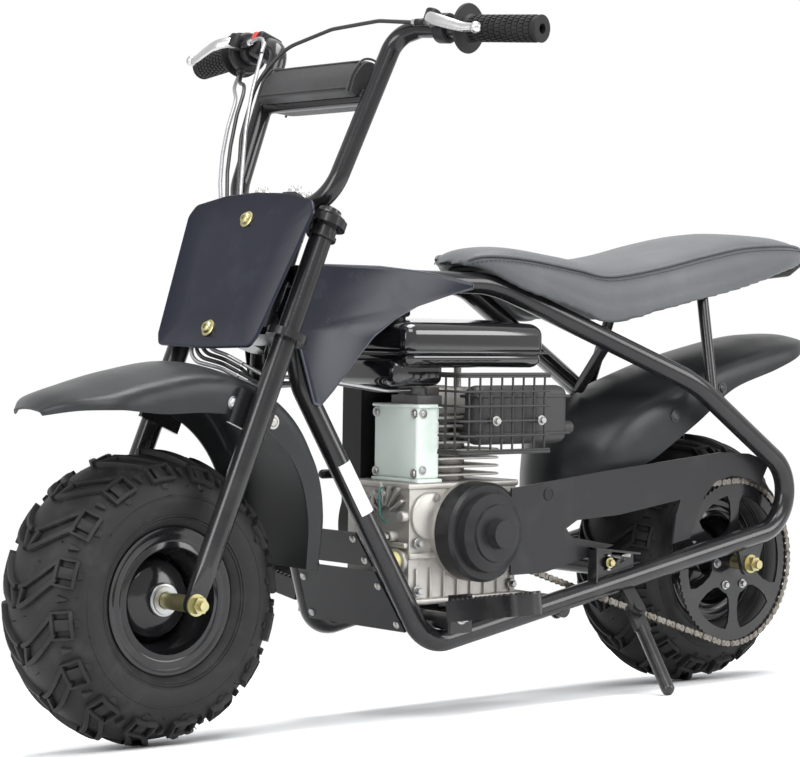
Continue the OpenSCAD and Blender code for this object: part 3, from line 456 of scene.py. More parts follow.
def tyre_rubber(name):
    """Black rubber, dusty in the grooves, with a faint mould grain."""
    s = Shade(name)
    dust = s.noise(38.0, 6.0, 0.65).ramp(0.45, 0.78)
    fine = s.noise(700.0, 3.0)
    colour = s.blend(dust * 0.5, (0.010, 0.010, 0.0105), (0.04, 0.038, 0.035))
    normal = s.bump(fine, 0.22, 0.0005, s.bump(s.noise(120.0, 3.0), 0.12, 0.0012))
    return s.finish(colour, dust * 0.15 + 0.56, normal=normal, specular=0.22)


def cast_alloy(name, base=(0.42, 0.405, 0.38), rough=0.5):
    """Sand-cast alloy: pitted, warm grey, darker oily patches."""
    s = Shade(name)
    oily = s.noise(26.0, 5.0, 0.6).ramp(0.5, 0.8)
    pits = s.cells(520.0)
    colour = s.blend(oily * 0.75, base, tuple(c * 0.42 for c in base))
    normal = s.bump(pits, 0.28, 0.0006, s.bump(s.noise(180.0, 4.0), 0.25, 0.0012))
    return s.finish(colour, rough - oily * 0.14, metal=0.72, normal=normal)


def plated(name, base=(0.62, 0.58, 0.42), tint=(0.5, 0.52, 0.58), rough=0.3):
    """Zinc plate with faint rainbow patches and a brushed grain."""
    s = Shade(name)
    patch = s.noise(70.0, 3.0).ramp(0.35, 0.7)
    grain = s.noise(1800.0, 2.0, vector=s.stretched((1.0, 0.1, 1.0)))
    colour = s.blend(patch, base, tint)
    return s.finish(colour, grain * 0.18 + rough - 0.05, metal=0.95, normal=s.bump(grain, 0.08, 0.0002))


def bright_metal(name, base=(0.66, 0.66, 0.65), rough=0.2, streak=(1.0, 0.06, 1.0)):
    """Polished or turned metal with fine streaks and finger marks."""
    s = Shade(name)
    lines = s.noise(1400.0, 3.0, vector=s.stretched(streak))
    marks = s.noise(40.0, 4.0).ramp(0.5, 0.75)
    colour = s.blend(marks * 0.3, base, tuple(c * 0.72 for c in base))
    return s.finish(colour, lines * 0.16 + marks * 0.12 + rough - 0.06, metal=1.0,
                    normal=s.bump(lines, 0.06, 0.0002))


def vinyl(name, base, pale, grain=520.0, rough=0.46):
    """Seat vinyl: leather-like cells, soft creases, a slight sheen where it is sat on."""
    s = Shade(name)
    skin = s.cells(grain, "DISTANCE_TO_EDGE", vector=s.stretched((1.0, 1.15, 1.0)))
    creases = s.noise(24.0, 4.0, 0.5, distort=0.6)
    worn = s.noise(9.0, 3.0).ramp(0.42, 0.72)
    colour = s.blend(worn * 0.6, base, pale)
    normal = s.bump(skin.ramp(0.0, 0.22), 0.35, 0.0004, s.bump(creases, 0.25, 0.003))
    return s.finish(colour, worn * -0.08 + rough, normal=normal, specular=0.4, sheen=0.05)


def oily_steel(name, base=(0.17, 0.16, 0.145)):
    """Chain steel with oil and a brown bloom."""
    s = Shade(name)
    bloom = s.noise(160.0, 4.0).ramp(0.45, 0.7)
    colour = s.blend(bloom, base, (0.10, 0.075, 0.05))
    return s.finish(colour, bloom * 0.25 + 0.28, metal=0.9, normal=s.bump(s.noise(900.0), 0.15, 0.0003))


def plain_rough(name, base, rough=0.6, metal=0.0, speck=900.0):
    """Simple surface with a fine speckle, for small parts."""
    s = Shade(name)
    speckle = s.noise(speck, 3.0)
    colour = s.blend(speckle.ramp(0.4, 0.7) * 0.5, base, tuple(c * 0.6 for c in base))
    return s.finish(colour, speckle * 0.2 + rough - 0.1, metal=metal, normal=s.bump(speckle, 0.1, 0.0003))


MATERIAL = {}


def make_materials():
    MATERIAL.update(
        frame=painted("frame paint", (0.009, 0.009, 0.010)),
        rim=painted("rim paint", (0.008, 0.008, 0.009), rough=0.16, amount=0.06),
        tank=painted("tank paint", (0.006, 0.006, 0.007), rough=0.1, amount=0.03, coat=0.8),
        fender=satin_plastic("fender plastic", (0.016, 0.017, 0.018), 0.34),
        navy=satin_plastic("navy panel", (0.0055, 0.0068, 0.014), 0.24, 900.0),
        navy_edge=satin_plastic("panel edge", (0.05, 0.055, 0.07), 0.3),
        black_plastic=satin_plastic("black plastic", (0.010, 0.010, 0.011), 0.4),
        guard=satin_plastic("guard enamel", (0.016, 0.016, 0.017), 0.32),
        tyre=tyre_rubber("tyre rubber"),
        grip=tyre_rubber("grip rubber"),
        alloy=cast_alloy("engine casting"),
        dark_cast=cast_alloy("dark casting", (0.10, 0.10, 0.10), 0.46),
        shroud=painted("shroud enamel", (0.58, 0.65, 0.60), (0.3, 0.3, 0.27), 0.34, 0.3),
        zinc=plated("zinc plate"),
        zinc_pale=plated("pale zinc", (0.36, 0.355, 0.33), (0.30, 0.31, 0.33), 0.34),
        screw_black=plated("blackened screw", (0.05, 0.05, 0.05), (0.075, 0.075, 0.08), 0.36),
        olive=plated("olive passivate", (0.34, 0.33, 0.17), (0.42, 0.36, 0.2), 0.34),
        bright=bright_metal("bright metal", (0.5, 0.5, 0.5), 0.24),
        disc=bright_metal("ground disc", (0.5, 0.5, 0.5), 0.3),
        muffler=plain_rough("muffler enamel", (0.012, 0.012, 0.012), 0.55),
        seat=vinyl("seat vinyl", (0.062, 0.066, 0.070), (0.085, 0.09, 0.094)),
        pad=vinyl("pad vinyl", (0.016, 0.016, 0.017), (0.026, 0.026, 0.028), 700.0),
        thread=plain_rough("seam thread", (0.02, 0.02, 0.022), 0.8),
        chain=oily_steel("chain steel"),
        cable=plain_rough("cable cover", (0.012, 0.012, 0.013), 0.42),
        cable_bright=bright_metal("cable braid", (0.36, 0.36, 0.37), 0.34),
        cable_grey=plain_rough("grey cable cover", (0.27, 0.27, 0.28), 0.4, 0.3),
        yellow=satin_plastic("cap yellow", (0.56, 0.52, 0.24), 0.4, 1400.0, (0.62, 0.59, 0.34)),
        red=plain_rough("button red", (0.42, 0.02, 0.015), 0.35),
        teal=plain_rough("wire teal", (0.03, 0.2, 0.17), 0.4),
        label_white=plain_rough("bare label", (0.66, 0.66, 0.64), 0.5),
        # Painted shade: a near-black surface set in vents and bores to stand in for the shade inside the
        # openings
        dark=plain_rough("painted shade recess", (0.006, 0.006, 0.006), 0.8),
    )


WELD_DISTANCE = 2e-6


def face_outward(mesh, weld=False):
    """Turns every face outward, after welding double points if asked."""
    work = bmesh.new()
    work.from_mesh(mesh)
    if weld:
        bmesh.ops.remove_doubles(work, verts=work.verts, dist=WELD_DISTANCE)
    bmesh.ops.recalc_face_normals(work, faces=work.faces)
    work.to_mesh(mesh)
    work.free()


def shade_smooth(mesh):
    for polygon in mesh.polygons:
        polygon.use_smooth = True


def publish(name, shell, body, materials, replaces=(), smooth=40.0, bevel=0.0):
    """Turns a shell in bike millimetres into a Blender object in the row frame."""
    name = name.replace(" ", "_")
    mesh = bpy.data.meshes.new(name)
    verts = [tuple(PARKED @ v) for v in shell.verts]
    mesh.from_pydata(verts, [], shell.faces)
    for key in materials:
        mesh.materials.append(MATERIAL[key])
    mesh.polygons.foreach_set("material_index", [min(m, len(materials) - 1) for m in shell.marks])
    face_outward(mesh, weld=True)
    mesh.validate()
    obj = bpy.data.objects.new(name, mesh)
    bpy.context.scene.collection.objects.link(obj)
    shade_smooth(mesh)
    if bevel:
        soften_edges(obj, bevel * MM, 35).use_clamp_overlap = True
    bake(obj)
    obj.data.set_sharp_from_angle(angle=math.radians(smooth))
    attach(obj, body)
    if replaces:
        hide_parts(*replaces)
    return obj


def soften_edges(obj, width, limit_deg):
    """Bevel on the edges sharper than a limit."""
    modifier = obj.modifiers.new("edge", "BEVEL")
    modifier.width = width
    modifier.segments = 2
    modifier.limit_method = "ANGLE"
    modifier.angle_limit = math.radians(limit_deg)
    return modifier


def bake(obj):
    """Applies every modifier by taking the evaluated mesh."""
    if not obj.modifiers:
        return
    graph = bpy.context.evaluated_depsgraph_get()
    baked = bpy.data.meshes.new_from_object(obj.evaluated_get(graph), preserve_all_data_layers=True,
                                            depsgraph=graph)
    obj.modifiers.clear()
    old = obj.data
    obj.data = baked
    bpy.data.meshes.remove(old)


def repeat_tree(item, material):
    """Node group that puts one item on every point, turned by the point's own angles."""
    tree = bpy.data.node_groups.new("repeat " + item.name, "GeometryNodeTree")
    face = tree.interface
    face.new_socket("Points", in_out="INPUT", socket_type="NodeSocketGeometry")
    size = face.new_socket("Item size", in_out="INPUT", socket_type="NodeSocketFloat")
    jitter = face.new_socket("Size variation", in_out="INPUT", socket_type="NodeSocketFloat")
    face.new_socket("Result", in_out="OUTPUT", socket_type="NodeSocketGeometry")
    n, link = tree.nodes, tree.links.new
    source, sink = n.new("NodeGroupInput"), n.new("NodeGroupOutput")
    info = n.new("GeometryNodeObjectInfo")
    info.inputs["Object"].default_value = item
    turn = n.new("GeometryNodeInputNamedAttribute")
    turn.data_type = "FLOAT_VECTOR"
    turn.inputs["Name"].default_value = "turn"
    chance = n.new("FunctionNodeRandomValue")
    chance.data_type = "FLOAT"
    chance.inputs["Min"].default_value = -1.0
    chance.inputs["Seed"].default_value = 7
    vary, total = n.new("ShaderNodeMath"), n.new("ShaderNodeMath")
    vary.operation, total.operation = "MULTIPLY", "ADD"
    place = n.new("GeometryNodeInstanceOnPoints")
    real, paint = n.new("GeometryNodeRealizeInstances"), n.new("GeometryNodeSetMaterial")
    paint.inputs["Material"].default_value = material
    link(source.outputs["Points"], place.inputs["Points"])
    link(info.outputs["Geometry"], place.inputs["Instance"])
    link(turn.outputs["Attribute"], place.inputs["Rotation"])
    link(chance.outputs[1], vary.inputs[0])
    link(source.outputs["Size variation"], vary.inputs[1])
    link(vary.outputs[0], total.inputs[0])
    link(source.outputs["Item size"], total.inputs[1])
    link(total.outputs[0], place.inputs["Scale"])
    link(place.outputs[0], real.inputs[0])
    link(real.outputs[0], paint.inputs["Geometry"])
    link(paint.outputs[0], sink.inputs[0])
    return tree, size.identifier, jitter.identifier


def repeat(name, item_shell, places, body, material, size=1.0, variation=0.0, smooth=40.0):
    """Repeats a small shell by Geometry Nodes; places are matrices in bike millimetres."""
    name = name.replace(" ", "_")
    item_mesh = bpy.data.meshes.new(name + " item")
    item_mesh.from_pydata([tuple(v * MM) for v in item_shell.verts], [], item_shell.faces)
    item = bpy.data.objects.new(name + " item", item_mesh)
    bpy.context.scene.collection.objects.link(item)
    cloud = bpy.data.meshes.new(name)
    spots = [PARKED @ m for m in places]
    cloud.from_pydata([tuple(m.translation) for m in spots], [], [])
    turns = cloud.attributes.new("turn", "FLOAT_VECTOR", "POINT")
    turns.data.foreach_set("vector", [c for m in spots for c in m.to_3x3().normalized().to_euler()])
    obj = bpy.data.objects.new(name, cloud)
    bpy.context.scene.collection.objects.link(obj)
    tree, size_id, jitter_id = repeat_tree(item, MATERIAL[material])
    modifier = obj.modifiers.new("repeat", "NODES")
    modifier.node_group = tree
    modifier[size_id] = size
    modifier[jitter_id] = variation
    bpy.context.view_layer.update()
    bake(obj)
    mesh = obj.data
    if not mesh.polygons:
        raise RuntimeError(name + " came out empty")
    face_outward(mesh)
    shade_smooth(mesh)
    mesh.set_sharp_from_angle(angle=math.radians(smooth))
    bpy.data.objects.remove(item)
    bpy.data.node_groups.remove(tree)
    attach(obj, body)
    return obj


WHEELS = (("front", 0.0), ("rear", -WHEELBASE))
TREAD_START = -90.0 - 0.2


def at_wheel(x):
    return shift(x, 0, TYRE_R)


def tyre_profile():
    """Half section from the middle of the tread to the bead, as (radius, half width)."""
    crown = [(TREAD_CENTRE_R + CROWN_R * math.cos(math.radians(a)), CROWN_R * math.sin(math.radians(a)))
             for a in (0, 8, 16, 24, 32, 38)]
    return smooth_curve(crown + [(146, 59.5), (139, 65), (129, 69.5), (117, 71.5), (104, 69.5), (95, 64.5),
                                 (89.5, 58.5), (88.4, 56.0)], 60)


class TyreSkin:
    """Points on the tyre by distance across from the middle and angle round the axle."""

    def __init__(self):
        self.profile = tyre_profile()
        steps = np.linalg.norm(np.diff(self.profile, axis=0), axis=1)
        self.size = np.concatenate([[0], np.cumsum(steps)])

    def at(self, across, degrees, height=0.0, side=1):
        a = min(abs(across), self.size[-1])
        r = np.interp(a, self.size, self.profile[:, 0])
        y = np.interp(a, self.size, self.profile[:, 1])
        e = 0.6
        r2 = np.interp(a + e, self.size, self.profile[:, 0])
        y2 = np.interp(a + e, self.size, self.profile[:, 1])
        r1 = np.interp(max(a - e, 0), self.size, self.profile[:, 0])
        y1 = np.interp(max(a - e, 0), self.size, self.profile[:, 1])
        t = Vector((r2 - r1, y2 - y1)).normalized()
        nr, ny = (t.y, -t.x) if a > 0.5 else (1.0, 0.0)
        sign = side if across >= 0 else -side
        g = math.radians(degrees)
        r, y = r + nr * height, y + ny * height
        return v3(r * math.cos(g), sign * y, r * math.sin(g))


def ridge(skin, path, width, height, side=1, sink=0.8, closed=False):
    """Raised rib along a path of (across, degrees) on the tyre."""
    count = len(path)
    section = [(-0.62, -sink), (-0.52, height - 0.9), (-0.42, height), (0.42, height), (0.52, height - 0.9),
               (0.62, -sink)]
    loops = []
    for i, (across, degrees) in enumerate(path):
        if closed:
            a, b = path[i - 1], path[(i + 1) % count]
        else:
            a, b = path[max(i - 1, 0)], path[min(i + 1, count - 1)]
        r = 165.0
        du, dv = b[0] - a[0], math.radians(b[1] - a[1]) * r
        size = math.hypot(du, dv) or 1.0
        nu, nv = -dv / size, du / size
        w = width(i / (count - 1)) if callable(width) else width
        loops.append([skin.at(across + nu * w * k, degrees + math.degrees(nv * w * k / r), h, side)
                      for k, h in section])
    return loops_shell(loops, wrap=closed, closed_ends=not closed)


def tread_pitch(skin, pitch):
    """One pitch of the tread: a pair of curved ribs, a recessed shoulder block and small lugs."""
    shell = Shell()
    for side in (1, -1):
        def curve(offset, end):
            pts = []
            for k in range(9):
                t = k / 8
                across = 3.5 + (end - 3.5) * t
                pts.append((across, offset + pitch * 0.56 * t ** 1.5))
            return pts
        shell.merge(ridge(skin, curve(0.0, 52.0), 5.6, LUG_H, side))
        shell.merge(ridge(skin, curve(pitch * 0.33, 50.0), 5.0, LUG_H - 0.8, side))
        link = [(3.5 + 2.4 * k, -0.2 + pitch * 0.33 * k / 3) for k in range(4)]
        shell.merge(ridge(skin, link, 4.6, LUG_H - 0.8, side))
        mid = pitch * 0.70
        c0, c1, g = 50.5, 71.0, pitch * 0.245
        ring = [(c0, mid - g), (c0 + 10, mid - g * 1.04), (c1, mid - g * 1.1), (c1, mid),
                (c1, mid + g * 1.1), (c0 + 10, mid + g * 1.04), (c0, mid + g), (c0, mid)]
        shell.merge(ridge(skin, ring, 4.2, 7.2, side, closed=True))
        pad = [(c0 + 2 + 2.4 * k, mid) for k in range(8)]
        shell.merge(ridge(skin, pad, 13.5, 4.4, side))
        tri = [(56 + 2.2 * k, pitch * 0.20) for k in range(6)]
        shell.merge(ridge(skin, tri, lambda t: 8.5 - 6.5 * t, 5.2, side))
        toe = [(74.5 + 1.6 * k, mid) for k in range(5)]
        shell.merge(ridge(skin, toe, lambda t: 12.0 - 5.0 * t, 2.2, side))
    return shell


def tyre_shell():
    skin = TyreSkin()
    pitch = 360.0 / TREAD.pitches
    profile = [tuple(p) for p in skin.profile]
    half = profile + [(78.0, 55.6), (77.2, 54.0), (77.0, 30.0)]
    ring = [(r, -y) for r, y in reversed(half)] + half[1:]
    shell = revolve(ring, 192)
    for at, lift in ((101.0, 0.9), (98.0, 1.2), (124.0, 0.7)):
        for side in (1, -1):
            y = np.interp(-at, -skin.profile[:, 0], skin.profile[:, 1])
            shell.merge(revolve([(at + 1.5, side * (y - 0.8)), (at + 0.8, side * (y + lift)),
                                 (at - 0.8, side * (y + lift)), (at - 1.5, side * (y - 0.8))], 128))
    unit_pitch = tread_pitch(skin, pitch)
    for k in range(TREAD.pitches):
        shell.merge(unit_pitch, spin(-math.radians(TREAD_START + k * pitch), "Y"))
    return shell, skin, pitch


def build_tyres():
    shell, skin, pitch = tyre_shell()
    for end, x in WHEELS:
        publish(end + " tyre dressed", shell.moved(at_wheel(x)), end + "_wheel", ["tyre"],
                [end + "_tyre"], smooth=38)
    hair = tube([v3(0, 0, -0.5), v3(0.3, 0, 3.0), v3(1.2, 0, 5.5)], lambda t: 0.75 - 0.45 * t, 6)
    spots = []
    rng = np.random.default_rng(4)
    for k in range(TREAD.pitches * 2):
        for side in (1, -1):
            across = float(rng.choice([12.0, 24.0, 44.0, 63.0, 78.0, 90.0]))
            g = (k + 0.5 + float(rng.uniform(-0.2, 0.2))) * pitch / 2
            p, q = skin.at(across, g, 0, side), skin.at(across, g, 10, side)
            spots.append(lying(p, q) @ spin(float(rng.uniform(0, 6.2)), "Z"))
    for end, x in WHEELS:
        repeat(end + " tyre hairs", hair, [at_wheel(x) @ m for m in spots], end + "_wheel", "tyre",
               variation=0.25)


def rim_shell():
    barrel = smooth_curve([(62.8, -59), (63.0, -40), (58, -24), (54, -10), (54, 20), (58, 32), (63, 44),
                           (63.2, 59)], 40)
    outer = [(87.0, -58.9), (87.6, -57.4), (87.2, -56.2), (80, -55.9), (76.4, -54.0), (76, -45),
             (75.9, -24), (67, -13), (66, -8), (66, 24), (67.5, 29), (75.9, 37), (76, 45), (76.4, 54.0),
             (80, 55.9), (87.2, 56.2), (87.6, 57.4), (87.0, 58.9), (84, 59.2), (80.5, 57.8), (77, 57.6),
             (73.5, 58.4), (70, 57.2), (66, 58.6), (63.2, 59)]
    shell = revolve([tuple(p) for p in barrel[::-1]]
                    + [(62.8, -59), (73, -58.6), (80.5, -57.8), (84, -59.2)] + outer, 128)
    disc = smooth_curve([(66, 9.5), (61, 11.2), (57, 10.2), (53.5, 11.5), (50.5, 16.5), (47, 25),
                         (42.5, 30.5), (36, 34.0), (28, 37.6), (21, 39.6), (18, 40)], 50)
    back = [(18, 36.6), (28, 34.4), (37, 30), (44, 23), (48, 12), (53, 8), (58, 6.8), (66, 6)]
    shell.merge(revolve([tuple(p) for p in disc] + back + [(66, 9.5)], 128))
    return shell


def hub_shell():
    shell = Shell()
    for side in (1, -1):
        ring = [(20, side * 30), (20, side * 46), (19.2, side * 47), (17, side * 47.4), (16.6, side * 49.4),
                (10.6, side * 49.6), (10.2, side * 47.8), (8.0, side * 47.8), (7.6, side * 49.9),
                (6.35, side * 49.9), (6.35, side * 30)]
        shell.merge(revolve(ring, 64))
    shell.merge(revolve([(20, -46), (20, 46)], 64))
    return shell


def build_rims():
    rim, hub = rim_shell(), hub_shell()
    stem = tube([v3(70, 30, 8), v3(69, 44, 8), v3(68, 52, 9)], lambda t: 3.6 - 0.8 * t, 16)
    for end, x in WHEELS:
        body, place = end + "_wheel", at_wheel(x)
        publish(end + " rim dressed", rim.moved(place), body, ["rim"], [end + "_rim"],
                smooth=32)
        publish(end + " hub dressed", hub.moved(place), body, ["zinc_pale"], smooth=32)
        publish(end + " valve dressed", stem.moved(place), body, ["black_plastic"])


HOOP_PATH = [(-205, 28, 562), (-535, 32, 560), (-830, 124, 430), (-1111, 130, 245), (-355, 110, 103),
             (-206, 41, 428), (-197, 26, 520)]
HOOP_BENDS = [0, 130, 180, 58, 45, 60, 0]


def weld_ring(centre, direction, radius, bead=1.6, ripple=26):
    """Stack-of-coins weld bead round a tube end."""
    m = lying(centre, Vector(centre) + Vector(direction))
    loops = []
    for k in range(ripple * 4):
        g = 2 * math.pi * k / (ripple * 4)
        lift = bead * (1.0 + 0.28 * math.cos(ripple * g))
        loop = []
        for j in range(8):
            a = 2 * math.pi * j / 8
            r = radius + lift * math.cos(a)
            loop.append(m @ v3(r * math.cos(g), r * math.sin(g), lift * math.sin(a)))
        loops.append(loop)
    return loops_shell(loops, wrap=True)


def build_frame():
    for side, node in ((1, "frame_left"), (-1, "frame_right")):
        path = [(x, side * y, z) for x, y, z in HOOP_PATH]
        shell = tube(rounded_path(path, HOOP_BENDS, 4.0), TUBE_R, 40)
        publish(node.replace("_", " ") + " tube", shell, "frame", ["frame"], [node],
                smooth=50)
    beads = Shell()
    for side in (1, -1):
        for x, z in ((-430, 134), (-592, 134), (-738, 176)):
            y = 110 + (-x - 355) * 20 / 756 - 13.2
            beads.merge(weld_ring((x, side * y, z), (0, 1, 0), 11.2))
        beads.merge(weld_ring((-702.5, side * 71.5, 481.0), (-30, -83.5 * side, -67), 8.4))
        beads.merge(weld_ring((-870.5, side * 117.5, 418.0), (-0.1, -0.26 * side, 1), 8.4))
    publish("weld beads", beads, "frame", ["frame"], smooth=60)


def fender_surface(rows, hub_x, across=33, along=90):
    """Thin curved mudguard from rows: x from the hub, z, normal in degrees, half width, drop, skirt."""
    table = smooth_curve([(r[0] + hub_x, r[1], math.cos(math.radians(r[2])) * 40,
                           math.sin(math.radians(r[2])) * 40, r[3], r[4], r[5])
                          for r in rows], along)
    outer, inner = [], []
    for x, z, cx, cz, w, drop, skirt in table:
        n = Vector((cx, cz)).normalized()
        line = smooth_curve([(-w, drop + skirt), (-w, drop + skirt * 0.5), (-w * 0.985, drop + 2),
                             (-w * 0.9, drop * 0.62), (-w * 0.6, drop * 0.28), (-w * 0.3, drop * 0.06),
                             (0, 0), (w * 0.3, drop * 0.06), (w * 0.6, drop * 0.28), (w * 0.9, drop * 0.62),
                             (w * 0.985, drop + 2), (w, drop + skirt * 0.5), (w, drop + skirt)], across)
        row_out, row_in = [], []
        for k, (y, d) in enumerate(line):
            a, b = line[max(k - 1, 0)], line[min(k + 1, len(line) - 1)]
            t = Vector((b[0] - a[0], b[1] - a[1])).normalized()
            ny, nd = -t.y, t.x
            row_out.append(v3(x - n.x * d, y, z - n.y * d))
            row_in.append(v3(x - n.x * (d + nd * 2.6), y + ny * 2.6, z - n.y * (d + nd * 2.6)))
        outer.append(row_out)
        inner.append(row_in)
    loops = [o + list(reversed(i)) for o, i in zip(outer, inner)]
    shell = loops_shell(loops, closed_ends=False)
    n = across
    m = len(loops)
    total = 2 * n
    caps = []
    for base in (0, (m - 1) * total):
        for j in range(n - 1):
            quad = (base + j, base + j + 1, base + total - 2 - j, base + total - 1 - j)
            caps.append(quad if base else tuple(reversed(quad)))
    shell.faces.extend(caps)
    shell.marks.extend([0] * len(caps))
    return shell


FRONT_FENDER = [(165, 404, 62, 30, 6, 4), (140, 420, 66, 62, 14, 6), (100, 432, 76, 84, 22, 8),
                (40, 447, 82, 86, 24, 26), (-37, 457, 92, 86, 25, 34), (-110, 438, 118, 86, 16, 35),
                (-165, 394, 138, 86, 8, 34), (-200, 335, 158, 86, 4, 30), (-212, 270, 176, 86, 3, 26),
                (-206, 203, 188, 86, 3, 22)]
REAR_FENDER = [(-210, 490, 118, 34, 6, 4), (-185, 498, 104, 66, 14, 8), (-147, 498, 96, 86, 22, 12),
               (-95, 493, 92, 89, 28, 18), (5, 473, 80, 90, 29, 24), (88, 452, 73, 90, 36, 42),
               (180, 423, 68, 90, 45, 52), (233, 397, 54, 90, 51, 46), (273, 362, 37, 88, 60, 34),
               (288, 315, 10, 87, 64, 28), (289, 262, 0, 86, 62, 24)]


def build_fenders():
    front = fender_surface(FRONT_FENDER, 0.0)
    rear = fender_surface(REAR_FENDER, -WHEELBASE)
    publish("front fender dressed", front, "steering", ["fender"], ["front_fender"],
            smooth=50)
    publish("rear fender dressed", rear, "frame", ["fender"], ["rear_fender"], smooth=50)
    screw = pan_screw(6.0, 3.2)
    spots_front = [lying((x, side * 86, z), (x, side * 100, z)) for x, z in ((-68, 409), (-127, 386))
                   for side in (1, -1)]
    spots_rear = [lying((x, side * 90, z), (x, side * 100, z)) for x, z in ((-828, 384), (-924, 421))
                  for side in (1, -1)]
    repeat("front fender screws", screw, spots_front, "steering", "zinc_pale")
    repeat("rear fender screws", screw, spots_rear, "frame", "screw_black")


PLATE_SCREWS = (476.0, 331.0)


def build_plate_and_panels():
    outline = round_outline([(-100, 322), (-92, 308), (0, 305), (92, 308), (100, 322), (125, 484),
                             (116, 499), (60, 510), (0, 513), (-60, 510), (-116, 499), (-125, 484)],
                            [9, 12, 60, 12, 9, 14, 12, 60, 60, 60, 12, 14], 6)

    def sheet(x0, inset):
        return [v3(x0, y * (1 - inset / 110.0), 410 + (s - 410) * (1 - inset / 100.0)) for y, s in outline]

    loops = [sheet(36, 0.6), sheet(36.3, 0.0), sheet(38.4, 0.0), sheet(39.4, 0.9), sheet(39.5, 3.0),
             sheet(38.9, 4.2), sheet(38.9, 40.0)]
    plate = loops_shell(loops)
    publish("number plate dressed", plate.moved(ON_FORK), "steering", ["navy"],
            ["number_plate"], smooth=30)
    arms = Shell()
    for s in PLATE_SCREWS:
        arms.merge(box_shell((18.3, -9, s - 6), (36, 9, s + 6)))
    publish("plate stand-offs", arms.moved(ON_FORK), "steering", ["frame"], bevel=1.0)
    button = lathe_solid([(0.1, 0), (10.5, 0), (10.5, 1.4), (9.5, 2.2), (7.6, 2.4), (7.2, 5.0), (5.4, 6.6),
                          (3.0, 6.9), (2.6, 4.6), (0.1, 4.6)], 40, "Z")
    repeat("plate screws", button, [ON_FORK @ lying((39, 0, s), (50, 0, s)) for s in PLATE_SCREWS],
           "steering", "olive")
    shape = [(-202, 578), (-328, 578), (-385, 574), (-445, 567), (-486, 559), (-484, 551), (-441, 542),
             (-386, 527), (-348, 510), (-310, 487), (-273, 452), (-240, 420), (-218, 401), (-208, 404),
             (-187, 490)]
    shape = round_outline(shape, [8, 60, 60, 60, 4, 4, 60, 60, 60, 60, 60, 30, 5, 5, 30], 6)
    tilt, toe = math.radians(7.0), math.radians(0.7)
    turned = shift(-205, 42.3, 562) @ spin(-toe, "Z") @ spin(tilt, "X")

    def ring(y, inset):
        cx, cz = -300, 520
        out = []
        for x, z in shape:
            d = Vector((x - cx, z - cz))
            k = 1 - inset / max(d.length, 1)
            out.append(v3(x + 205 - d.x * (1 - k), y, z - 562 - d.y * (1 - k)))
        return out

    panel = loops_shell([ring(0, 1.0), ring(0.4, 0.0), ring(2.2, 0.0), ring(3.0, 1.0), ring(3.0, 2.2),
                         ring(2.6, 3.0)])
    for i, _ in enumerate(panel.faces):
        row = i // len(shape)
        if row in (1, 2, 3) and i < 5 * len(shape):
            panel.marks[i] = 1
    for side, name in ((1, "left"), (-1, "right")):
        m = turned if side > 0 else FLIP @ turned
        publish("side panel %s dressed" % name, panel.moved(m), "frame", ["navy", "navy_edge"],
                ["side_panel_" + name], smooth=30)


SEAT_ROWS = [(-480, 24, 590, 580, 584), (-505, 50, 606, 577, 583), (-560, 74, 612, 550, 574),
             (-640, 92, 604, 526, 545), (-700, 98, 599, 508, 519), (-790, 104, 611, 526, 533),
             (-880, 108, 630, 545, 552), (-960, 108, 643, 562, 569), (-1050, 100, 643, 585, 591),
             (-1105, 82, 636, 597, 601), (-1130, 58, 620, 604, 606)]


SEAT_INSET = 3.5
SEAM_DROP = 0.24
SEAT_VOXEL = 0.005
SWELL_LIMIT = 0.0015
CLOTH_FRAMES = 20


def seat_section(row, inset=0.0):
    x, w, top, low, mid = row
    w, top, low = w - inset, top - inset, low + inset * 0.4
    h = top - low
    right = smooth_curve([(0, top), (w * 0.35, top - h * 0.03), (w * 0.68, top - h * 0.1),
                          (w * 0.88, top - h * SEAM_DROP), (w * 0.985, top - h * 0.45), (w, top - h * 0.66),
                          (w * 0.985, low + h * 0.12), (w * 0.965, low)], 18)
    under = [(w * 0.9, low + 0.4), (w - 13.6 + inset * 0.4, low + 0.6),
             (w - 14.2 + inset * 0.4, (low + mid) / 2 + 0.5), (w * 0.8 - 12, mid + 0.9),
             (w * 0.4, mid + 1.4), (0, mid + 1.5)]
    half = [tuple(p) for p in right] + under
    loop = [v3(x, y, z) for y, z in half]
    loop += [v3(x, -y, z) for y, z in reversed(half[1:-1])]
    return loop


def seat_skin_point(row, side, below, out):
    """Point on the cushion's shoulder, a distance below its seam line and out from its skin."""
    skin = list(reversed(seat_section(row, SEAT_INSET)[:18]))
    z = row[2] - SEAT_INSET - (row[2] - row[3]) * SEAM_DROP - below
    y = float(np.interp(z, [p.z for p in skin], [p.y for p in skin]))
    return v3(row[0], side * (y + out), z)


def seat_table(count):
    return [tuple(r) for r in smooth_curve(SEAT_ROWS, count)]


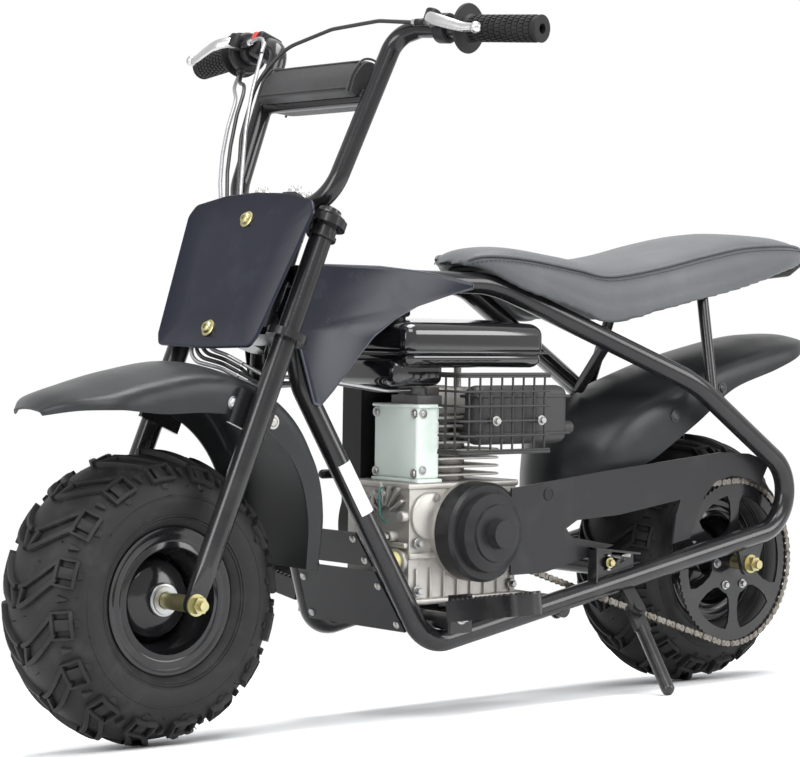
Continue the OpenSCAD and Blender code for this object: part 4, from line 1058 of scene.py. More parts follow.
def soften(obj, limit, skip_low):
    """Cloth under pressure, capped, so that the pad swells between its held edges."""
    rest = np.empty(len(obj.data.vertices) * 3)
    obj.data.vertices.foreach_get("co", rest)
    rest = rest.reshape(-1, 3)
    group = obj.vertex_groups.new(name="held")
    held = [i for i, p in enumerate(rest) if skip_low(p)]
    group.add(held, 1.0, "REPLACE")
    cloth = obj.modifiers.new("swell", "CLOTH")
    cloth.settings.use_pressure = True
    cloth.settings.uniform_pressure_force = 4.0
    cloth.settings.effector_weights.gravity = 0.0
    cloth.settings.vertex_group_mass = "held"
    cloth.settings.tension_stiffness = 18.0
    cloth.settings.compression_stiffness = 18.0
    cloth.settings.bending_stiffness = 2.0
    cloth.point_cache.frame_start, cloth.point_cache.frame_end = 1, CLOTH_FRAMES
    scene = bpy.context.scene
    for number in range(1, CLOTH_FRAMES + 1):
        scene.frame_set(number)
    bake(obj)
    scene.frame_set(1)
    moved = np.empty(len(obj.data.vertices) * 3)
    obj.data.vertices.foreach_get("co", moved)
    moved = moved.reshape(-1, 3)
    step = moved - rest
    size = np.linalg.norm(step, axis=1, keepdims=True)
    moved = rest + step * np.minimum(1.0, limit / np.maximum(size, 1e-9))
    obj.data.vertices.foreach_set("co", moved.ravel())
    obj.data.update()


def build_seat():
    loops = [seat_section(r, SEAT_INSET) for r in seat_table(58)]
    shell = loops_shell(loops)
    seat = publish("seat cushion padded", shell, "frame", ["seat"], ["seat_cushion"],
                   smooth=60)
    remesh = seat.modifiers.new("even", "REMESH")
    remesh.mode = "VOXEL"
    remesh.voxel_size = SEAT_VOXEL
    bake(seat)
    inverse = PARKED.inverted()

    def on_base(point):
        p = inverse @ Vector(point)
        row = np.interp(-p.x, [-r[0] for r in SEAT_ROWS], [r[3] for r in SEAT_ROWS])
        return p.z < row + 16
    soften(seat, SWELL_LIMIT, on_base)
    smooth = seat.modifiers.new("settle", "SMOOTH")
    smooth.iterations = 3
    smooth.factor = 0.5
    finer = seat.modifiers.new("finer", "SUBSURF")
    finer.levels = finer.render_levels = 1
    bake(seat)
    shade_smooth(seat.data)
    piping, stitches = [], []
    table = seat_table(80)
    for side in (1, -1):
        piping.append(tube([seat_skin_point(row, side, 0.0, 0.9) for row in table[2:-2]], 2.1, 10))
        run = [seat_skin_point(row, side, 6.5, 1.0) for row in table[2:-2]]
        size = np.concatenate([[0], np.cumsum([(b - a).length for a, b in zip(run, run[1:])])])
        for d in np.arange(3, size[-1] - 3, 6.0):
            a = v3(*[np.interp(d, size, [p[k] for p in run]) for k in range(3)])
            b = v3(*[np.interp(d + 3.4, size, [p[k] for p in run]) for k in range(3)])
            stitches.append(lying(a, b))
    both = Shell()
    for p in piping:
        both.merge(p)
    publish("seat piping", both, "frame", ["seat"])
    stitch = tube([v3(0, 0, 0), v3(0, 0, 3.4)], 0.75, 8)
    repeat("seat stitches", stitch, stitches, "frame", "thread")
    pan_loops = []
    for x, w, _, _, mid in seat_table(40)[3:-3]:
        w = max(6, w - 15)
        pan_loops.append([v3(x, w, mid - 0.3), v3(x, -w, mid - 0.3), v3(x, -w, mid - 4.3),
                          v3(x, w, mid - 4.3)])
    rail = tube(rounded_path([(-1050, 40, 581), (-1120, 40, 588), (-1166, 30, 608), (-1166, -30, 608),
                              (-1120, -40, 588), (-1050, -40, 581)], [0, 20, 14, 14, 20, 0], 6.0), 5.0, 20)
    pan = loops_shell(pan_loops)
    pan.merge(rail)
    publish("seat pan and grab loop", pan, "frame", ["black_plastic"], ["seat_base"],
            smooth=40)


CROSSBAR_S = 656
BAR_SIDE = [(0, 94, 509), (0, 114, 737), (-4, 150, 749), (-35, 326, 749)]
GRIP_FROM, GRIP_TO = v3(*BAR_SIDE[2]), v3(*BAR_SIDE[3])
GRIP_DIR = (GRIP_TO - GRIP_FROM).normalized()
AXIS_TURN = math.atan2(GRIP_DIR.y, GRIP_DIR.x)
ON_GRIP = ON_FORK @ Matrix.Translation(GRIP_TO) @ spin(AXIS_TURN, "Z") @ spin(math.pi / 2, "Y")


def both_sides(shell, matrix):
    left = shell.moved(matrix)
    return left, left.moved(FLIP)


def build_handlebar():
    path = [v3(x, -y, s) for x, y, s in reversed(BAR_SIDE)] + [v3(*p) for p in BAR_SIDE]
    line = rounded_path(path, [0, 24, 30, 48, 48, 30, 24, 0], 4.0)
    bar = tube(line, 12.0, 36, ends=False)
    bar.merge(tube([v3(0, -104, CROSSBAR_S), v3(0, 104, CROSSBAR_S)], 9.5, 28))
    for side in (1, -1):
        bar.merge(weld_ring((0, side * 98.5, CROSSBAR_S), (0, 1, 0), 9.8))
    publish("handlebar tube", bar.moved(ON_FORK), "steering", ["frame"], ["handlebar"],
            smooth=50)
    # Near-black lining inside each bar end: painted shade standing in for the shade down the bore
    ends = revolve([(12, -62), (8, -62), (8, 0), (12, 0)], 36, "Z")
    left, right = both_sides(ends, ON_GRIP)
    left.merge(right)
    publish("handlebar end bores", left, "steering", ["dark"])
    collar = lathe_solid([(0.1, -22), (17.5, -22), (18.4, -21), (18.4, -17), (16, -16), (16, 6), (21, 6.4),
                          (21.4, 8), (18, 9.6), (15, 12.4), (14, 16), (9, 18.4), (0.1, 19)], 48, "Z")
    caps = Shell()
    for side in (1, -1):
        caps.merge(collar, ON_FORK @ shift(0, side * 103.5, 488))
    publish("fork leg caps", caps, "steering", ["frame"], smooth=30)
    studs = [ON_FORK @ shift(x, side * y, 523) for side in (1, -1) for y in (26, 40) for x in (-9, 9)]
    repeat("riser studs", bolt(8, 12, 7, 3), studs, "steering", "zinc_pale")
    pad_loops = []
    for y in np.linspace(-92, 92, 47):
        t = abs(y) / 92
        puff = 1.0 - 0.13 * t ** 10
        outline = smooth_curve([(-25, -2), (-25.5, 12), (-21, 34), (-9, 49), (4, 51), (18, 43), (25.5, 22),
                                (25.5, 6), (25, -2)], 30)
        loop = [v3(px * puff, y, CROSSBAR_S + (pz - 20) * puff + 20 - 1) for px, pz in outline]
        loop += [v3(12, y, 652), v3(10.2, y, 655), v3(8.5, y, 662), v3(0, y, 666), v3(-8.5, y, 662),
                 v3(-10.2, y, 655), v3(-12, y, 652)]
        pad_loops.append(loop)
    pad = loops_shell(pad_loops)
    obj = publish("handlebar pad padded", pad.moved(ON_FORK), "steering", ["pad"], ["bar_pad"],
                  smooth=45)
    seams = Shell()
    for y in (-88.5, 88.5):
        outline = smooth_curve([(-25.2, -2), (-25.6, 12), (-21.2, 34), (-9, 49.6), (4, 51.6), (18.3, 43.4),
                                (25.8, 22), (25.7, 6), (25.2, -2)], 40)
        seams.merge(tube([v3(px, y, 655 + pz) for px, pz in outline], 1.5, 8))
    for px, pz in ((25.7, 3), (-25.6, 3), (19, 42)):
        seams.merge(tube([v3(px, -88, 655 + pz), v3(px, 88, 655 + pz)], 1.1, 8))
    publish("pad seams", seams.moved(ON_FORK), "steering", ["pad"])
    grip_profile = [(12.3, -106), (28, -106.2), (30, -105.6), (30.2, -104), (29.2, -102.6), (20, -101.8),
                    (17.6, -100.4), (16.2, -97)]
    core = revolve(grip_profile + [(15.0, -94), (15.0, 2), (16.4, 3), (16.5, 5), (15.2, 6), (6.1, 6),
                                   (6.0, 0.3), (12.3, 0.2), (12.3, -106)], 64, "Z")
    blocks = []
    for ring in range(11):
        z = -92 + ring * 8.6
        for k in range(22):
            g = 2 * math.pi * (k + 0.5 * (ring % 2)) / 22
            blocks.append(shift(14.9 * math.cos(g), 14.9 * math.sin(g), z) @ spin(g, "Z"))
    stud = box_shell((-0.5, -1.55, -2.9), (1.5, 1.55, 2.9))
    for k, name, m in ((0, "left", ON_GRIP), (1, "right", FLIP @ ON_GRIP)):
        body = core.moved(m)
        for spot in blocks:
            body.merge(stud, m @ spot)
        publish("grip %s dressed" % name, body, "steering", ["grip"], ["grip_" + name], smooth=30)


def lever_blade():
    """Flattened lever: pivot eye, dog-leg and ball end, in the grip's own frame."""
    path = smooth_curve([(2, -26, -143), (6, -38, -137), (12, -47, -122), (18, -47, -96), (22, -45, -74),
                         (22, -44, -58)], 36)
    loops = []
    for i, (p, _, _, t) in enumerate(frames_along([v3(*q) for q in path])):
        f = i / 35
        wide = 7.2 - 2.2 * f + 1.2 * math.sin(f * 3.1)
        thick = 3.6 + 0.6 * math.sin(f * 3.1)
        up = v3(1, 0, 0)
        up = (up - up.dot(t) * t).normalized()
        side = t.cross(up)
        loops.append([p + up * wide * math.cos(g) + side * thick * math.sin(g)
                      for g in (2 * math.pi * k / 20 for k in range(20))])
    shell = loops_shell(loops)
    ball = lathe_solid([(0.1, -7), (3.6, -6), (6.0, -3.6), (7, 0), (6.0, 3.6), (3.6, 6), (0.1, 7)], 28, "Z")
    shell.merge(ball, shift(22, -44, -55))
    return shell


def build_levers():
    blade = lever_blade()
    perch = revolve([(12.3, -148), (17.4, -148), (18.4, -147), (18.4, -133), (17.4, -132), (12.3, -132),
                     (12.3, -148)], 48, "Z")
    body = Shell()
    body.merge(perch)
    body.merge(box_shell((-7, -30, -147), (9, -13, -133)))
    body.merge(lathe_solid([(0.1, -9), (8.5, -9), (9.3, -8), (9.3, 8), (8.5, 9), (0.1, 9)], 32, "X",
                           (1, -29, -140)))
    to_cable = shift(4, -22, -147.5) @ spin(math.pi, "X")
    body.merge(lathe_solid([(0.1, 0), (4.5, 0), (4.5, 9), (3.7, 10), (3.7, 12), (4.5, 13), (4.5, 21),
                            (0.1, 21)], 24, "Z"), to_cable)
    ferrule = lathe_solid([(0.1, 20), (4.2, 20), (4.2, 25), (3.2, 26.5), (0.1, 26.5)], 24, "Z")
    for name, m in (("left", ON_GRIP), ("right", FLIP @ ON_GRIP)):
        metal = blade.moved(m)
        metal.merge(ferrule, m @ to_cable)
        publish("lever %s dressed" % name, metal, "steering", ["bright"], ["lever_" + name],
                smooth=50)
        publish("lever perch " + name, body.moved(m), "steering", ["black_plastic"],
                bevel=0.6)
    house = revolve([(12.3, -130), (22, -130), (25.5, -128.5), (27, -126), (27, -118), (25, -115),
                     (12.3, -115), (12.3, -130)], 48, "Z")
    house.merge(lathe_solid([(0.1, 24), (6, 24), (6, 30), (5, 32), (0.1, 32)], 24, "X", (0, 0, -122.5)))
    publish("throttle housing", house.moved(FLIP @ ON_GRIP), "steering", ["black_plastic"],
            bevel=1.0)
    switch = soft_block((-17, -17, -180), (17, 19, -160), 5, 4)
    publish("kill switch", switch.moved(FLIP @ ON_GRIP), "steering", ["black_plastic"],
            smooth=35)
    button = soft_block((-13, -21, -175), (1, -16.4, -165), 1.6, 3)
    publish("kill switch button", button.moved(FLIP @ ON_GRIP), "steering", ["red"],
            smooth=35)


def soft_block(low, high, r, segments=6, top_crown=0.0):
    """Block with rounded edges as loops of a rounded rectangle, stacked in z."""
    (x0, y0, z0), (x1, y1, z1) = low, high
    cx, cy, hx, hy = (x0 + x1) / 2, (y0 + y1) / 2, (x1 - x0) / 2, (y1 - y0) / 2

    def ring(inset, z):
        a, b = hx - inset, hy - inset
        rr = max(r - inset * 0.4, 1.0)
        out = []
        for sx, sy, g0 in ((1, 1, 0), (-1, 1, 90), (-1, -1, 180), (1, -1, 270)):
            for k in range(segments + 1):
                g = math.radians(g0 + 90 * k / segments)
                out.append(v3(cx + sx * (a - rr) + rr * math.cos(g), cy + sy * (b - rr) + rr * math.sin(g),
                              z))
        return out
    loops = []
    for k in range(segments + 1):
        g = math.pi / 2 * k / segments
        loops.append(ring(r * (1 - math.sin(g)), z0 + r * (1 - math.cos(g))))
    for k in range(segments + 1):
        g = math.pi / 2 * k / segments
        loops.append(ring(r * (1 - math.cos(g)), z1 - r + r * math.sin(g)))
    if top_crown:
        loops.append(ring(r + 0.45 * min(hx, hy), z1 + top_crown * 0.75))
        loops.append(ring(r + 0.75 * min(hx, hy), z1 + top_crown))
    return loops_shell(loops)


NODE_EDGE = 0.0009


def paint_nodes():
    """Kept CAD nodes take procedural finishes and softened edges."""
    finish = {
        "frame_cross": "frame", "skid_plate": "black_plastic", "rear_axle": "olive",
        "front_axle": "olive", "peg_left": "frame", "peg_right": "frame", "crankcase": "alloy",
        "cylinder": "alloy",
        "air_shroud": "shroud", "recoil_starter": "black_plastic", "carburettor": "dark_cast",
        "oil_cap": "yellow",
        "chain_guard": "guard", "brake_caliper": "dark_cast", "fork_left": "frame", "fork_right": "frame",
        "stem_clamps": "frame", "side_stand": "frame", "brake_disc": "disc",
    }
    for name, key in finish.items():
        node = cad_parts[name]
        node.data.materials.clear()
        node.data.materials.append(MATERIAL[key])
        soften_edges(node, NODE_EDGE, 50).harden_normals = False


def build_tank():
    tank = soft_block((-588, -80, 462), (-345, 80, 508), 16, 7, 5.0)
    lower = soft_block((-585, -77, 450), (-348, 77, 474), 12, 6)
    lip = soft_block((-592, -84, 468.4), (-341, 84, 471.6), 1.5, 3)
    tank.merge(lower)
    tank.merge(lip)
    lobe = soft_block((-425, -60, 426), (-339.5, 62, 462), 12, 6)
    tank.merge(lobe)
    publish("fuel tank dressed", tank, "frame", ["tank"], ["fuel_tank"], smooth=35)
    cap = lathe_solid([(0.1, 0), (17, 0), (17, 7), (21, 8), (21.5, 9.5), (21.5, 17), (20, 18.6), (13, 19.2),
                       (0.1, 19.4)], 64, "Z")
    publish("fuel cap", cap.moved(shift(-388, 0, 507)), "frame", ["black_plastic"])
    rib = box_shell((20.6, -1.0, 9.6), (22.6, 1.0, 16.8))
    repeat("fuel cap ribs", rib, [shift(-388, 0, 507) @ spin(math.radians(k * 15), "Z")
                                  for k in range(24)], "frame", "black_plastic")


def build_muffler():
    can = soft_block((-604, 76, 352), (-440, 108, 428), 12, 7)
    for z in (366, 414):
        can.merge(soft_block((-606, 74.6, z - 2), (-438, 109.4, z + 2), 1.6, 3))
    can.merge(lathe_solid([(0.1, 62.3), (12, 62.3), (12, 78), (0.1, 78)], 40, "Y", (-480, 0, 375)))
    flange = soft_block((-504, 62.4, 357), (-456, 67.4, 393), 2.0, 3)
    can.merge(flange)
    tail = revolve([(6.5, 0), (8.5, 0), (8.5, 16), (6.5, 16), (6.5, 0)], 32, "X", (-606 - 14, 92, 372))
    can.merge(tail)
    publish("muffler dressed", can, "frame", ["muffler"], ["muffler"], smooth=35)
    x0, x1, y0, y1, z0, z1 = -402, -556, 76, 120, 346, 440
    wires = Shell()
    for i in range(6):
        z = z0 + i * (z1 - z0) / 5
        wires.merge(tube(rounded_path([(x0, y0, z), (x0, y1, z), (x1, y1, z)], [0, 8, 0], 12), 1.5, 12))
    for i in range(8):
        x = x0 - 14 - i * 19
        wires.merge(tube([v3(x, y1 - 2.6, z0 - 4), v3(x, y1 - 2.6, z1 + 4)], 1.5, 12))
    for i in range(2):
        y = y0 + 10 + i * 18
        wires.merge(tube([v3(x0 - 2.6, y, z0 - 4), v3(x0 - 2.6, y, z1 + 4)], 1.5, 12))
    for z in (z0 - 3, z1 + 3):
        wires.merge(tube(rounded_path([(x0, y0, z), (x0, y1, z), (x1, y1, z)], [0, 8, 0], 12), 2.2, 12))
    for x in (-460, -540):
        wires.merge(tube([v3(x, 107, 383.6), v3(x, y1, 383.6)], 3.5, 16))
    publish("muffler guard wires", wires, "frame", ["muffler"], ["muffler_guard"])
    repeat("muffler bolts", bolt(8, 13, 4.5),
           [lying((-460, 121, 383.6), (-460, 130, 383.6)), lying((-540, 121, 383.6), (-540, 130, 383.6)),
            lying((-463, 66, 386), (-463, 80, 386)), lying((-497, 66, 364), (-497, 80, 364))],
           "frame", "zinc_pale")


def build_engine_details():
    case = Shell()
    for x in np.linspace(-536, -372, 8):
        case.merge(box_shell((x - 2, 69.8, 156), (x + 2, 73.5, 196)))
    case.merge(soft_block((-548, 66, 208), (-358, 74, 216), 2.0, 3))
    case.merge(soft_block((-548, -52, 296), (-357, 73, 304), 2.5, 3))
    case.merge(soft_block((-552, -56, 149.8), (-354, 76, 158), 3.0, 3))
    case.merge(lathe_solid([(0.1, 70), (30, 70), (30, 74), (27, 76), (0.1, 76)], 48, "Y", (-392, 0, 262)))
    case.merge(lathe_solid([(0.1, 0), (17, 0), (17, 6), (14, 8), (0.1, 8)], 40, "Z"),
               lying((-360, 52, 205), (-340, 52, 205)))
    for y, z in ((-30, 170), (40, 170), (-30, 285), (20, 285)):
        case.merge(lathe_solid([(0.1, 0), (9, 0), (8, 5), (0.1, 5)], 28, "Z"),
                   lying((-360, y, z), (-340, y, z)))
    for k in range(6):
        turn = shift(-356.6, 30, 262) @ spin(math.radians(-58 + k * 24), "X")
        case.merge(box_shell((-3, -1.8, 12), (4.5, 1.8, 38 + 5 * (k % 2))), turn)
    for y, z, length in ((-8, 226, 9), (44, 236, 13), (62, 262, 9), (60, 178, 15)):
        case.merge(lathe_solid([(0.1, 0), (7.5, 0), (6.6, length - 1), (5.8, length), (0.1, length)],
                               28, "Z"), lying((-360, y, z), (-340, y, z)))
    case.merge(box_shell((-358, 4, 150), (-352.5, 9, 290)))
    case.merge(soft_block((-359, -50, 222), (-352, 70, 229), 2.0, 3))
    publish("crankcase castings", case, "frame", ["alloy"], smooth=35, bevel=0.6)
    bolts = [lying((-355, y, z), (-340, y, z)) for y, z in ((-30, 170), (40, 170), (-30, 285), (20, 285))]
    bolts += [lying((length - 360.4, y, z), (-300, y, z))
              for y, z, length in ((44, 236, 13), (60, 178, 15))]
    bolts += [lying((x, 74, z), (x, 80, z)) for x, z in ((-372, 168), (-372, 228), (-536, 168), (-540, 285),
                                                         (-400, 285))]
    repeat("crankcase bolts", bolt(8, 14, 5), bolts, "frame", "zinc_pale")
    fins = Shell()
    for i in range(9):
        z = 300.3 + i * 10.5
        outline = round_outline([(-523, -52), (-409.4, -52), (-409.4, 64), (-523, 64)], 12, 5)
        loops = []
        for inset, dz in ((1.0, -0.2), (0, 0.6), (0, 2.4), (1.0, 3.2)):
            loops.append([v3(-466 + (x + 466) * (1 - inset / 57), 6 + (y - 6) * (1 - inset / 58), z + dz)
                          for x, y in outline])
        fins.merge(loops_shell(loops))
    publish("cooling fins", fins, "frame", ["alloy"], smooth=30)
    trim = Shell()
    trim.merge(soft_block((-413, -19, 304), (-371.4, 73, 309), 1.6, 3))
    trim.merge(soft_block((-413, -19, 399), (-371.4, 73, 403.5), 1.6, 3))
    publish("shroud flanges", trim, "frame", ["shroud"], smooth=35)
    repeat("shroud screws", pan_screw(4.2, 2.4),
           [lying((-371.6, y, z), (-360, y, z)) for y, z in ((-10, 316), (64, 316), (-10, 392), (64, 392))]
           + [lying((x, 70, z), (x, 80, z)) for x, z in ((-381, 320), (-381, 392))], "frame", "zinc_pale")
    # Starter vents as near-black slots set flat on the cover: painted shade where the openings are
    slots = [shift(-458, -105.4, 241) @ spin(math.radians(k * 20), "Y") for k in range(18)]
    repeat("starter vents", box_shell((28, -1.2, -3), (46, 0.6, 3)), slots, "frame", "dark")
    handle = soft_block((-398, -118, 300), (-362, -106, 312), 5, 4)
    publish("starter handle", handle, "frame", ["black_plastic"], smooth=40)
    filler = lathe_solid([(0.1, 0), (13.5, 0), (13.5, 2), (12.5, 3), (12.5, 19), (14, 20), (14, 25),
                          (13, 26.2), (0.1, 26.4)], 40, "Z")
    filler.merge(box_shell((-12, -2.2, 26), (12, 2.2, 34)))
    publish("oil cap dressed", filler.moved(lying((-359.7, 52, 205), (-300, 52, 205))), "frame", ["yellow"],
            ["oil_cap"], bevel=0.7)
    wire = tube([tuple(p) for p in smooth_curve([(-357, 22, 297), (-349, 24, 293), (-348, 26, 276),
                                                 (-348.5, 27, 262), (-357, 28, 252)], 30)], 1.3, 10)
    publish("teal wire", wire, "frame", ["teal"])


def chain_points(step):
    """Pin centres along the chain's loop, in x and z, with their headings."""
    big, small = SPROCKET_R, CLUTCH_R
    cx0, cz0, cx1, cz1 = -WHEELBASE, TYRE_R, CLUTCH_X, CLUTCH_Z
    dx, dz = cx1 - cx0, cz1 - cz0
    span, tilt = math.hypot(dx, dz), math.atan2(dz, dx)
    lead = math.asin((big - small) / span)
    pts = []
    for k in range(181):
        g = tilt + math.pi / 2 - lead + k * (math.pi + 2 * lead) / 180
        pts.append((cx0 + big * math.cos(g), cz0 + big * math.sin(g)))
    for k in range(61):
        g = tilt - math.pi / 2 + lead + k * (math.pi - 2 * lead) / 60
        pts.append((cx1 + small * math.cos(g), cz1 + small * math.sin(g)))
    pts.append(pts[0])
    pts = np.array(pts)
    size = np.concatenate([[0], np.cumsum(np.linalg.norm(np.diff(pts, axis=0), axis=1))])
    count = int(round(size[-1] / step / 2)) * 2
    want = np.arange(count) * size[-1] / count
    return np.stack([np.interp(want, size, pts[:, k]) for k in (0, 1)], axis=1)


def build_drive():
    pins = chain_points(CHAIN_PITCH)
    inner, outer = [], []
    for i in range(len(pins)):
        a, b = pins[i], pins[(i + 1) % len(pins)]
        m = shift(a[0], CHAIN_Y, a[1]) @ spin(-math.atan2(b[1] - a[1], b[0] - a[0]), "Y")
        (inner if i % 2 else outer).append(m)

    def link(y):
        shell = Shell()
        outline = []
        for k in range(9):
            g = math.radians(90 + 22.5 * k)
            outline.append((4.2 * math.cos(g), 4.2 * math.sin(g)))
        outline += [(5, -3.0)]
        for k in range(9):
            g = math.radians(-90 + 22.5 * k)
            outline.append((10 + 4.2 * math.cos(g), 4.2 * math.sin(g)))
        outline += [(5, 3.0)]
        for side in (1, -1):
            shell.merge(prism(outline, side * y, side * (y + 1.0)))
        return shell
    outer_link = link(3.6)
    for x in (0, 10):
        outer_link.merge(lathe_solid([(0.1, -5.2), (1.4, -5.2), (1.8, -4.8), (1.8, 4.8), (1.4, 5.2),
                                      (0.1, 5.2)], 16, "Y", (x, 0, 0)))
    inner_link = link(2.4)
    for x in (0, 10):
        inner_link.merge(revolve([(3.1, -2.3), (3.1, 2.3)], 18, "Y", (x, 0, 0)))
    first = repeat("chain outer links", outer_link, outer, "frame", "chain", smooth=35)
    repeat("chain inner links", inner_link, inner, "frame", "chain", smooth=35)
    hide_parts("drive_chain")
    outline, count = [], TEETH * 8
    for k in range(count):
        phase = (k / 8.0) % 1.0
        r = SPROCKET_R - 3.4 + 2.6 * (0.5 - 0.5 * math.cos(2 * math.pi * phase)) ** 1.6
        outline.append((r, 2 * math.pi * k / count))
    plate = Shell()
    rings = []
    for y in (CHAIN_Y - 1.5, CHAIN_Y + 1.5):
        rings.append([v3(r * math.sin(g), y, r * math.cos(g)) for r, g in outline])
    inner_ring = [[v3(95 * math.sin(g), y, 95 * math.cos(g)) for _, g in outline]
                  for y in (CHAIN_Y + 1.5, CHAIN_Y - 1.5)]
    plate.merge(loops_shell([rings[0], rings[1], inner_ring[0], inner_ring[1]], wrap=True))
    hub_ring = revolve([(46, CHAIN_Y - 1.5), (46, CHAIN_Y + 1.5), (24, CHAIN_Y + 1.5), (24, CHAIN_Y - 1.5),
                        (46, CHAIN_Y - 1.5)], 96)
    plate.merge(hub_ring)
    for k in range(6):
        g = math.radians(60 * k + 30)
        arm = ((42, 15), (52, 9.5), (68, 8), (84, 10), (96.5, 17))
        edge = list(arm) + [(r, -w) for r, w in reversed(arm)]
        spoke = prism(edge, CHAIN_Y - 1.45, CHAIN_Y + 1.45)
        plate.merge(spoke, spin(g, "Y"))
    carrier = revolve([(6.35, 50.3), (22, 50.3), (24, 52), (24, 95), (30, 95.4), (30, 98.6), (14, 98.7),
                       (12, 99.5), (6.35, 99.5), (6.35, 50.3)], 64)
    plate.merge(carrier)
    publish("rear sprocket dressed", plate.moved(at_wheel(-WHEELBASE)), "rear_wheel", ["rim"],
            ["rear_sprocket"], smooth=35)
    spots = [at_wheel(-WHEELBASE) @ spin(math.radians(k * 60), "Y") @ lying((36, 98.5, 0), (36, 110, 0))
             for k in range(6)]
    repeat("sprocket bolts", bolt(8, 13, 4), spots, "rear_wheel", "zinc_pale")
    # Clutch cover vents as thin near-black slabs: painted shade where the openings are
    cover = Shell()
    for k in range(3):
        g = math.radians(200 + k * 24)
        cover.merge(box_shell((40, 109.6, -3.2), (56, 110.8, 3.2)), shift(CLUTCH_X, 0, CLUTCH_Z)
                    @ spin(g, "Y"))
    publish("clutch cover vents", cover, "frame", ["dark"], bevel=0.8)
    inset = lathe_solid([(0.1, 109.4), (8.6, 109.4), (8.6, 110.9), (7.6, 111.2), (7.2, 110.5),
                         (0.1, 110.5)], 40, "Y", (-566, 0, 286))
    publish("guard inset", inset, "frame", ["black_plastic"], smooth=30)


def tube_label(start, end, radius, width_deg, facing_deg):
    """Thin bare label bent round part of a tube."""
    m = lying(start, end)
    length = (Vector(end) - Vector(start)).length
    low, high = facing_deg - width_deg / 2, facing_deg + width_deg / 2
    angles = [math.radians(low + (high - low) * k / 12) for k in range(13)]
    loops = []
    for z in (0.0, length / 2, length):
        ring = [v3((radius + 0.35) * math.cos(g), (radius + 0.35) * math.sin(g), z) for g in angles]
        ring += [v3((radius - 0.2) * math.cos(g), (radius - 0.2) * math.sin(g), z)
                 for g in reversed(angles)]
        loops.append(ring)
    return loops_shell(loops).moved(m)


def build_skid_and_pegs():
    base = shift(-340, 0, 132) @ spin(math.radians(25.4), "Y") @ shift(11, 0, 0)
    spots = []
    for side in (1, -1):
        for y, z in ((84, 2), (74, 56), (66, 92), (58, 122)):
            p, q = base @ v3(0, side * y, z), base @ v3(6, side * y, z)
            spots.append(lying(p, q))
    down = (v3(-355, 110, 103), v3(-206, 41, 428))
    low_end, high_end = down[0].lerp(down[1], 0.51), down[0].lerp(down[1], 0.7)
    label = tube_label(tuple(low_end), tuple(high_end), TUBE_R, 110, 100)
    publish("bare tube label", label, "frame", ["label_white"], smooth=40)
    rivet = lathe_solid([(0.1, 0), (5.2, 0), (5, 1.2), (3.6, 2.3), (1.6, 2.7), (1.4, 2.2), (0.1, 2.2)],
                        28, "Z")
    repeat("skid plate rivets", rivet, spots, "frame", "zinc_pale")
    teeth = []
    for side in (1, -1):
        lift = shift(-378, side * 150, 150) @ spin(math.radians(9) * side, "X")
        for x in (-22, 22):
            for k in range(12):
                teeth.append(lift @ shift(x, side * (10 + k * 8.6), 13))
        for k in range(7):
            g = math.radians(180 * (k + 0.5) / 7)
            teeth.append(lift @ shift(22 * math.cos(g), side * (110 + 22 * math.sin(g)), 13)
                         @ spin(g * side, "Z"))
    tooth = loops_shell([[v3(-2, -3.2, -1), v3(2, -3.2, -1), v3(2, 3.2, -1), v3(-2, 3.2, -1)],
                         [v3(-1.8, -0.8, 2.6), v3(1.8, -0.8, 2.6), v3(1.8, 0.8, 2.6), v3(-1.8, 0.8, 2.6)]])
    repeat("peg teeth", tooth, teeth, "frame", "frame")
    bracket = prism([(-638, 168), (-638, 214), (-722, 204), (-722, 176)], 113, 116)
    bracket.merge(prism([(-638, 168), (-638, 214), (-641, 214), (-641, 168)], 116, 129))
    bracket.merge(prism([(-638, 214), (-722, 204), (-722, 201), (-638, 211)], 116, 129))
    publish("spring bracket", bracket, "frame", ["frame"], bevel=0.8)
    pear = [(-672 + 11 * math.cos(g), 192 + 11 * math.sin(g))
            for g in (math.radians(60 + 20 * k) for k in range(13))]
    pear = list(reversed(pear)) + [(-700, 193), (-712, 197), (-714, 202), (-708, 204), (-696, 201)]
    publish("spring lug", prism(pear, 116.2, 120.2), "frame", ["zinc_pale"], bevel=0.8)
    repeat("spring lug bolt", bolt(9, 15, 5), [lying((-672, 120.2, 192), (-672, 130, 192))], "frame",
           "olive")
    repeat("peg bolts", bolt(13, 20, 7), [lying((-378, side * 150.5, 143), (-378, side * 160, 143))
                                          for side in (1, -1)], "frame", "zinc_pale")


CABLE_R = 2.5
CABLE_SIDE = 27
CABLE_BREAK = 1.4
STEER_OFFSET = 25


def to_axis(y, height):
    """Last corners of a cable on the fork: down past the lower clamp, then back to the steering axis."""
    return [(CABLE_SIDE, y, 430), (CABLE_SIDE, y, height), (2, 0, height),
            (CABLE_BREAK - STEER_OFFSET, 0, height)]


# Corner points of the control cables on the fork: brake, right lever, throttle, kill switch
BAR_RUNS = [
    [(17, 158, 745), (26, 105, 747), (28, 20, 742), (29, -60, 722), (28, -100, 680), (27, -92, 600),
     (CABLE_SIDE, -52, 510)] + to_axis(-23, 306),
    [(17, -157.6, 745), (28, -112, 752), (37, -98, 720), (37, -87, 655), (33, -78, 605), (28, -60, 545),
     (CABLE_SIDE, -42, 500)] + to_axis(-16, 312),
    [(-15, -203, 719.5), (-6, -190, 700), (14, -140, 682), (25, -121, 634), (27, -107, 587), (27, -94, 550),
     (CABLE_SIDE, -68, 500)] + to_axis(-30, 300),
    [(-17, -211, 719.5), (-8, -200, 695), (12, -154, 664), (24, -132, 615), (26, -119, 575),
     (27, -101, 535), (CABLE_SIDE, -77, 495)] + to_axis(-37, 294),
]
BAR_RUN_BENDS = [0, 60, 60, 60, 60, 60, 80, 80, 18, 15, 0]
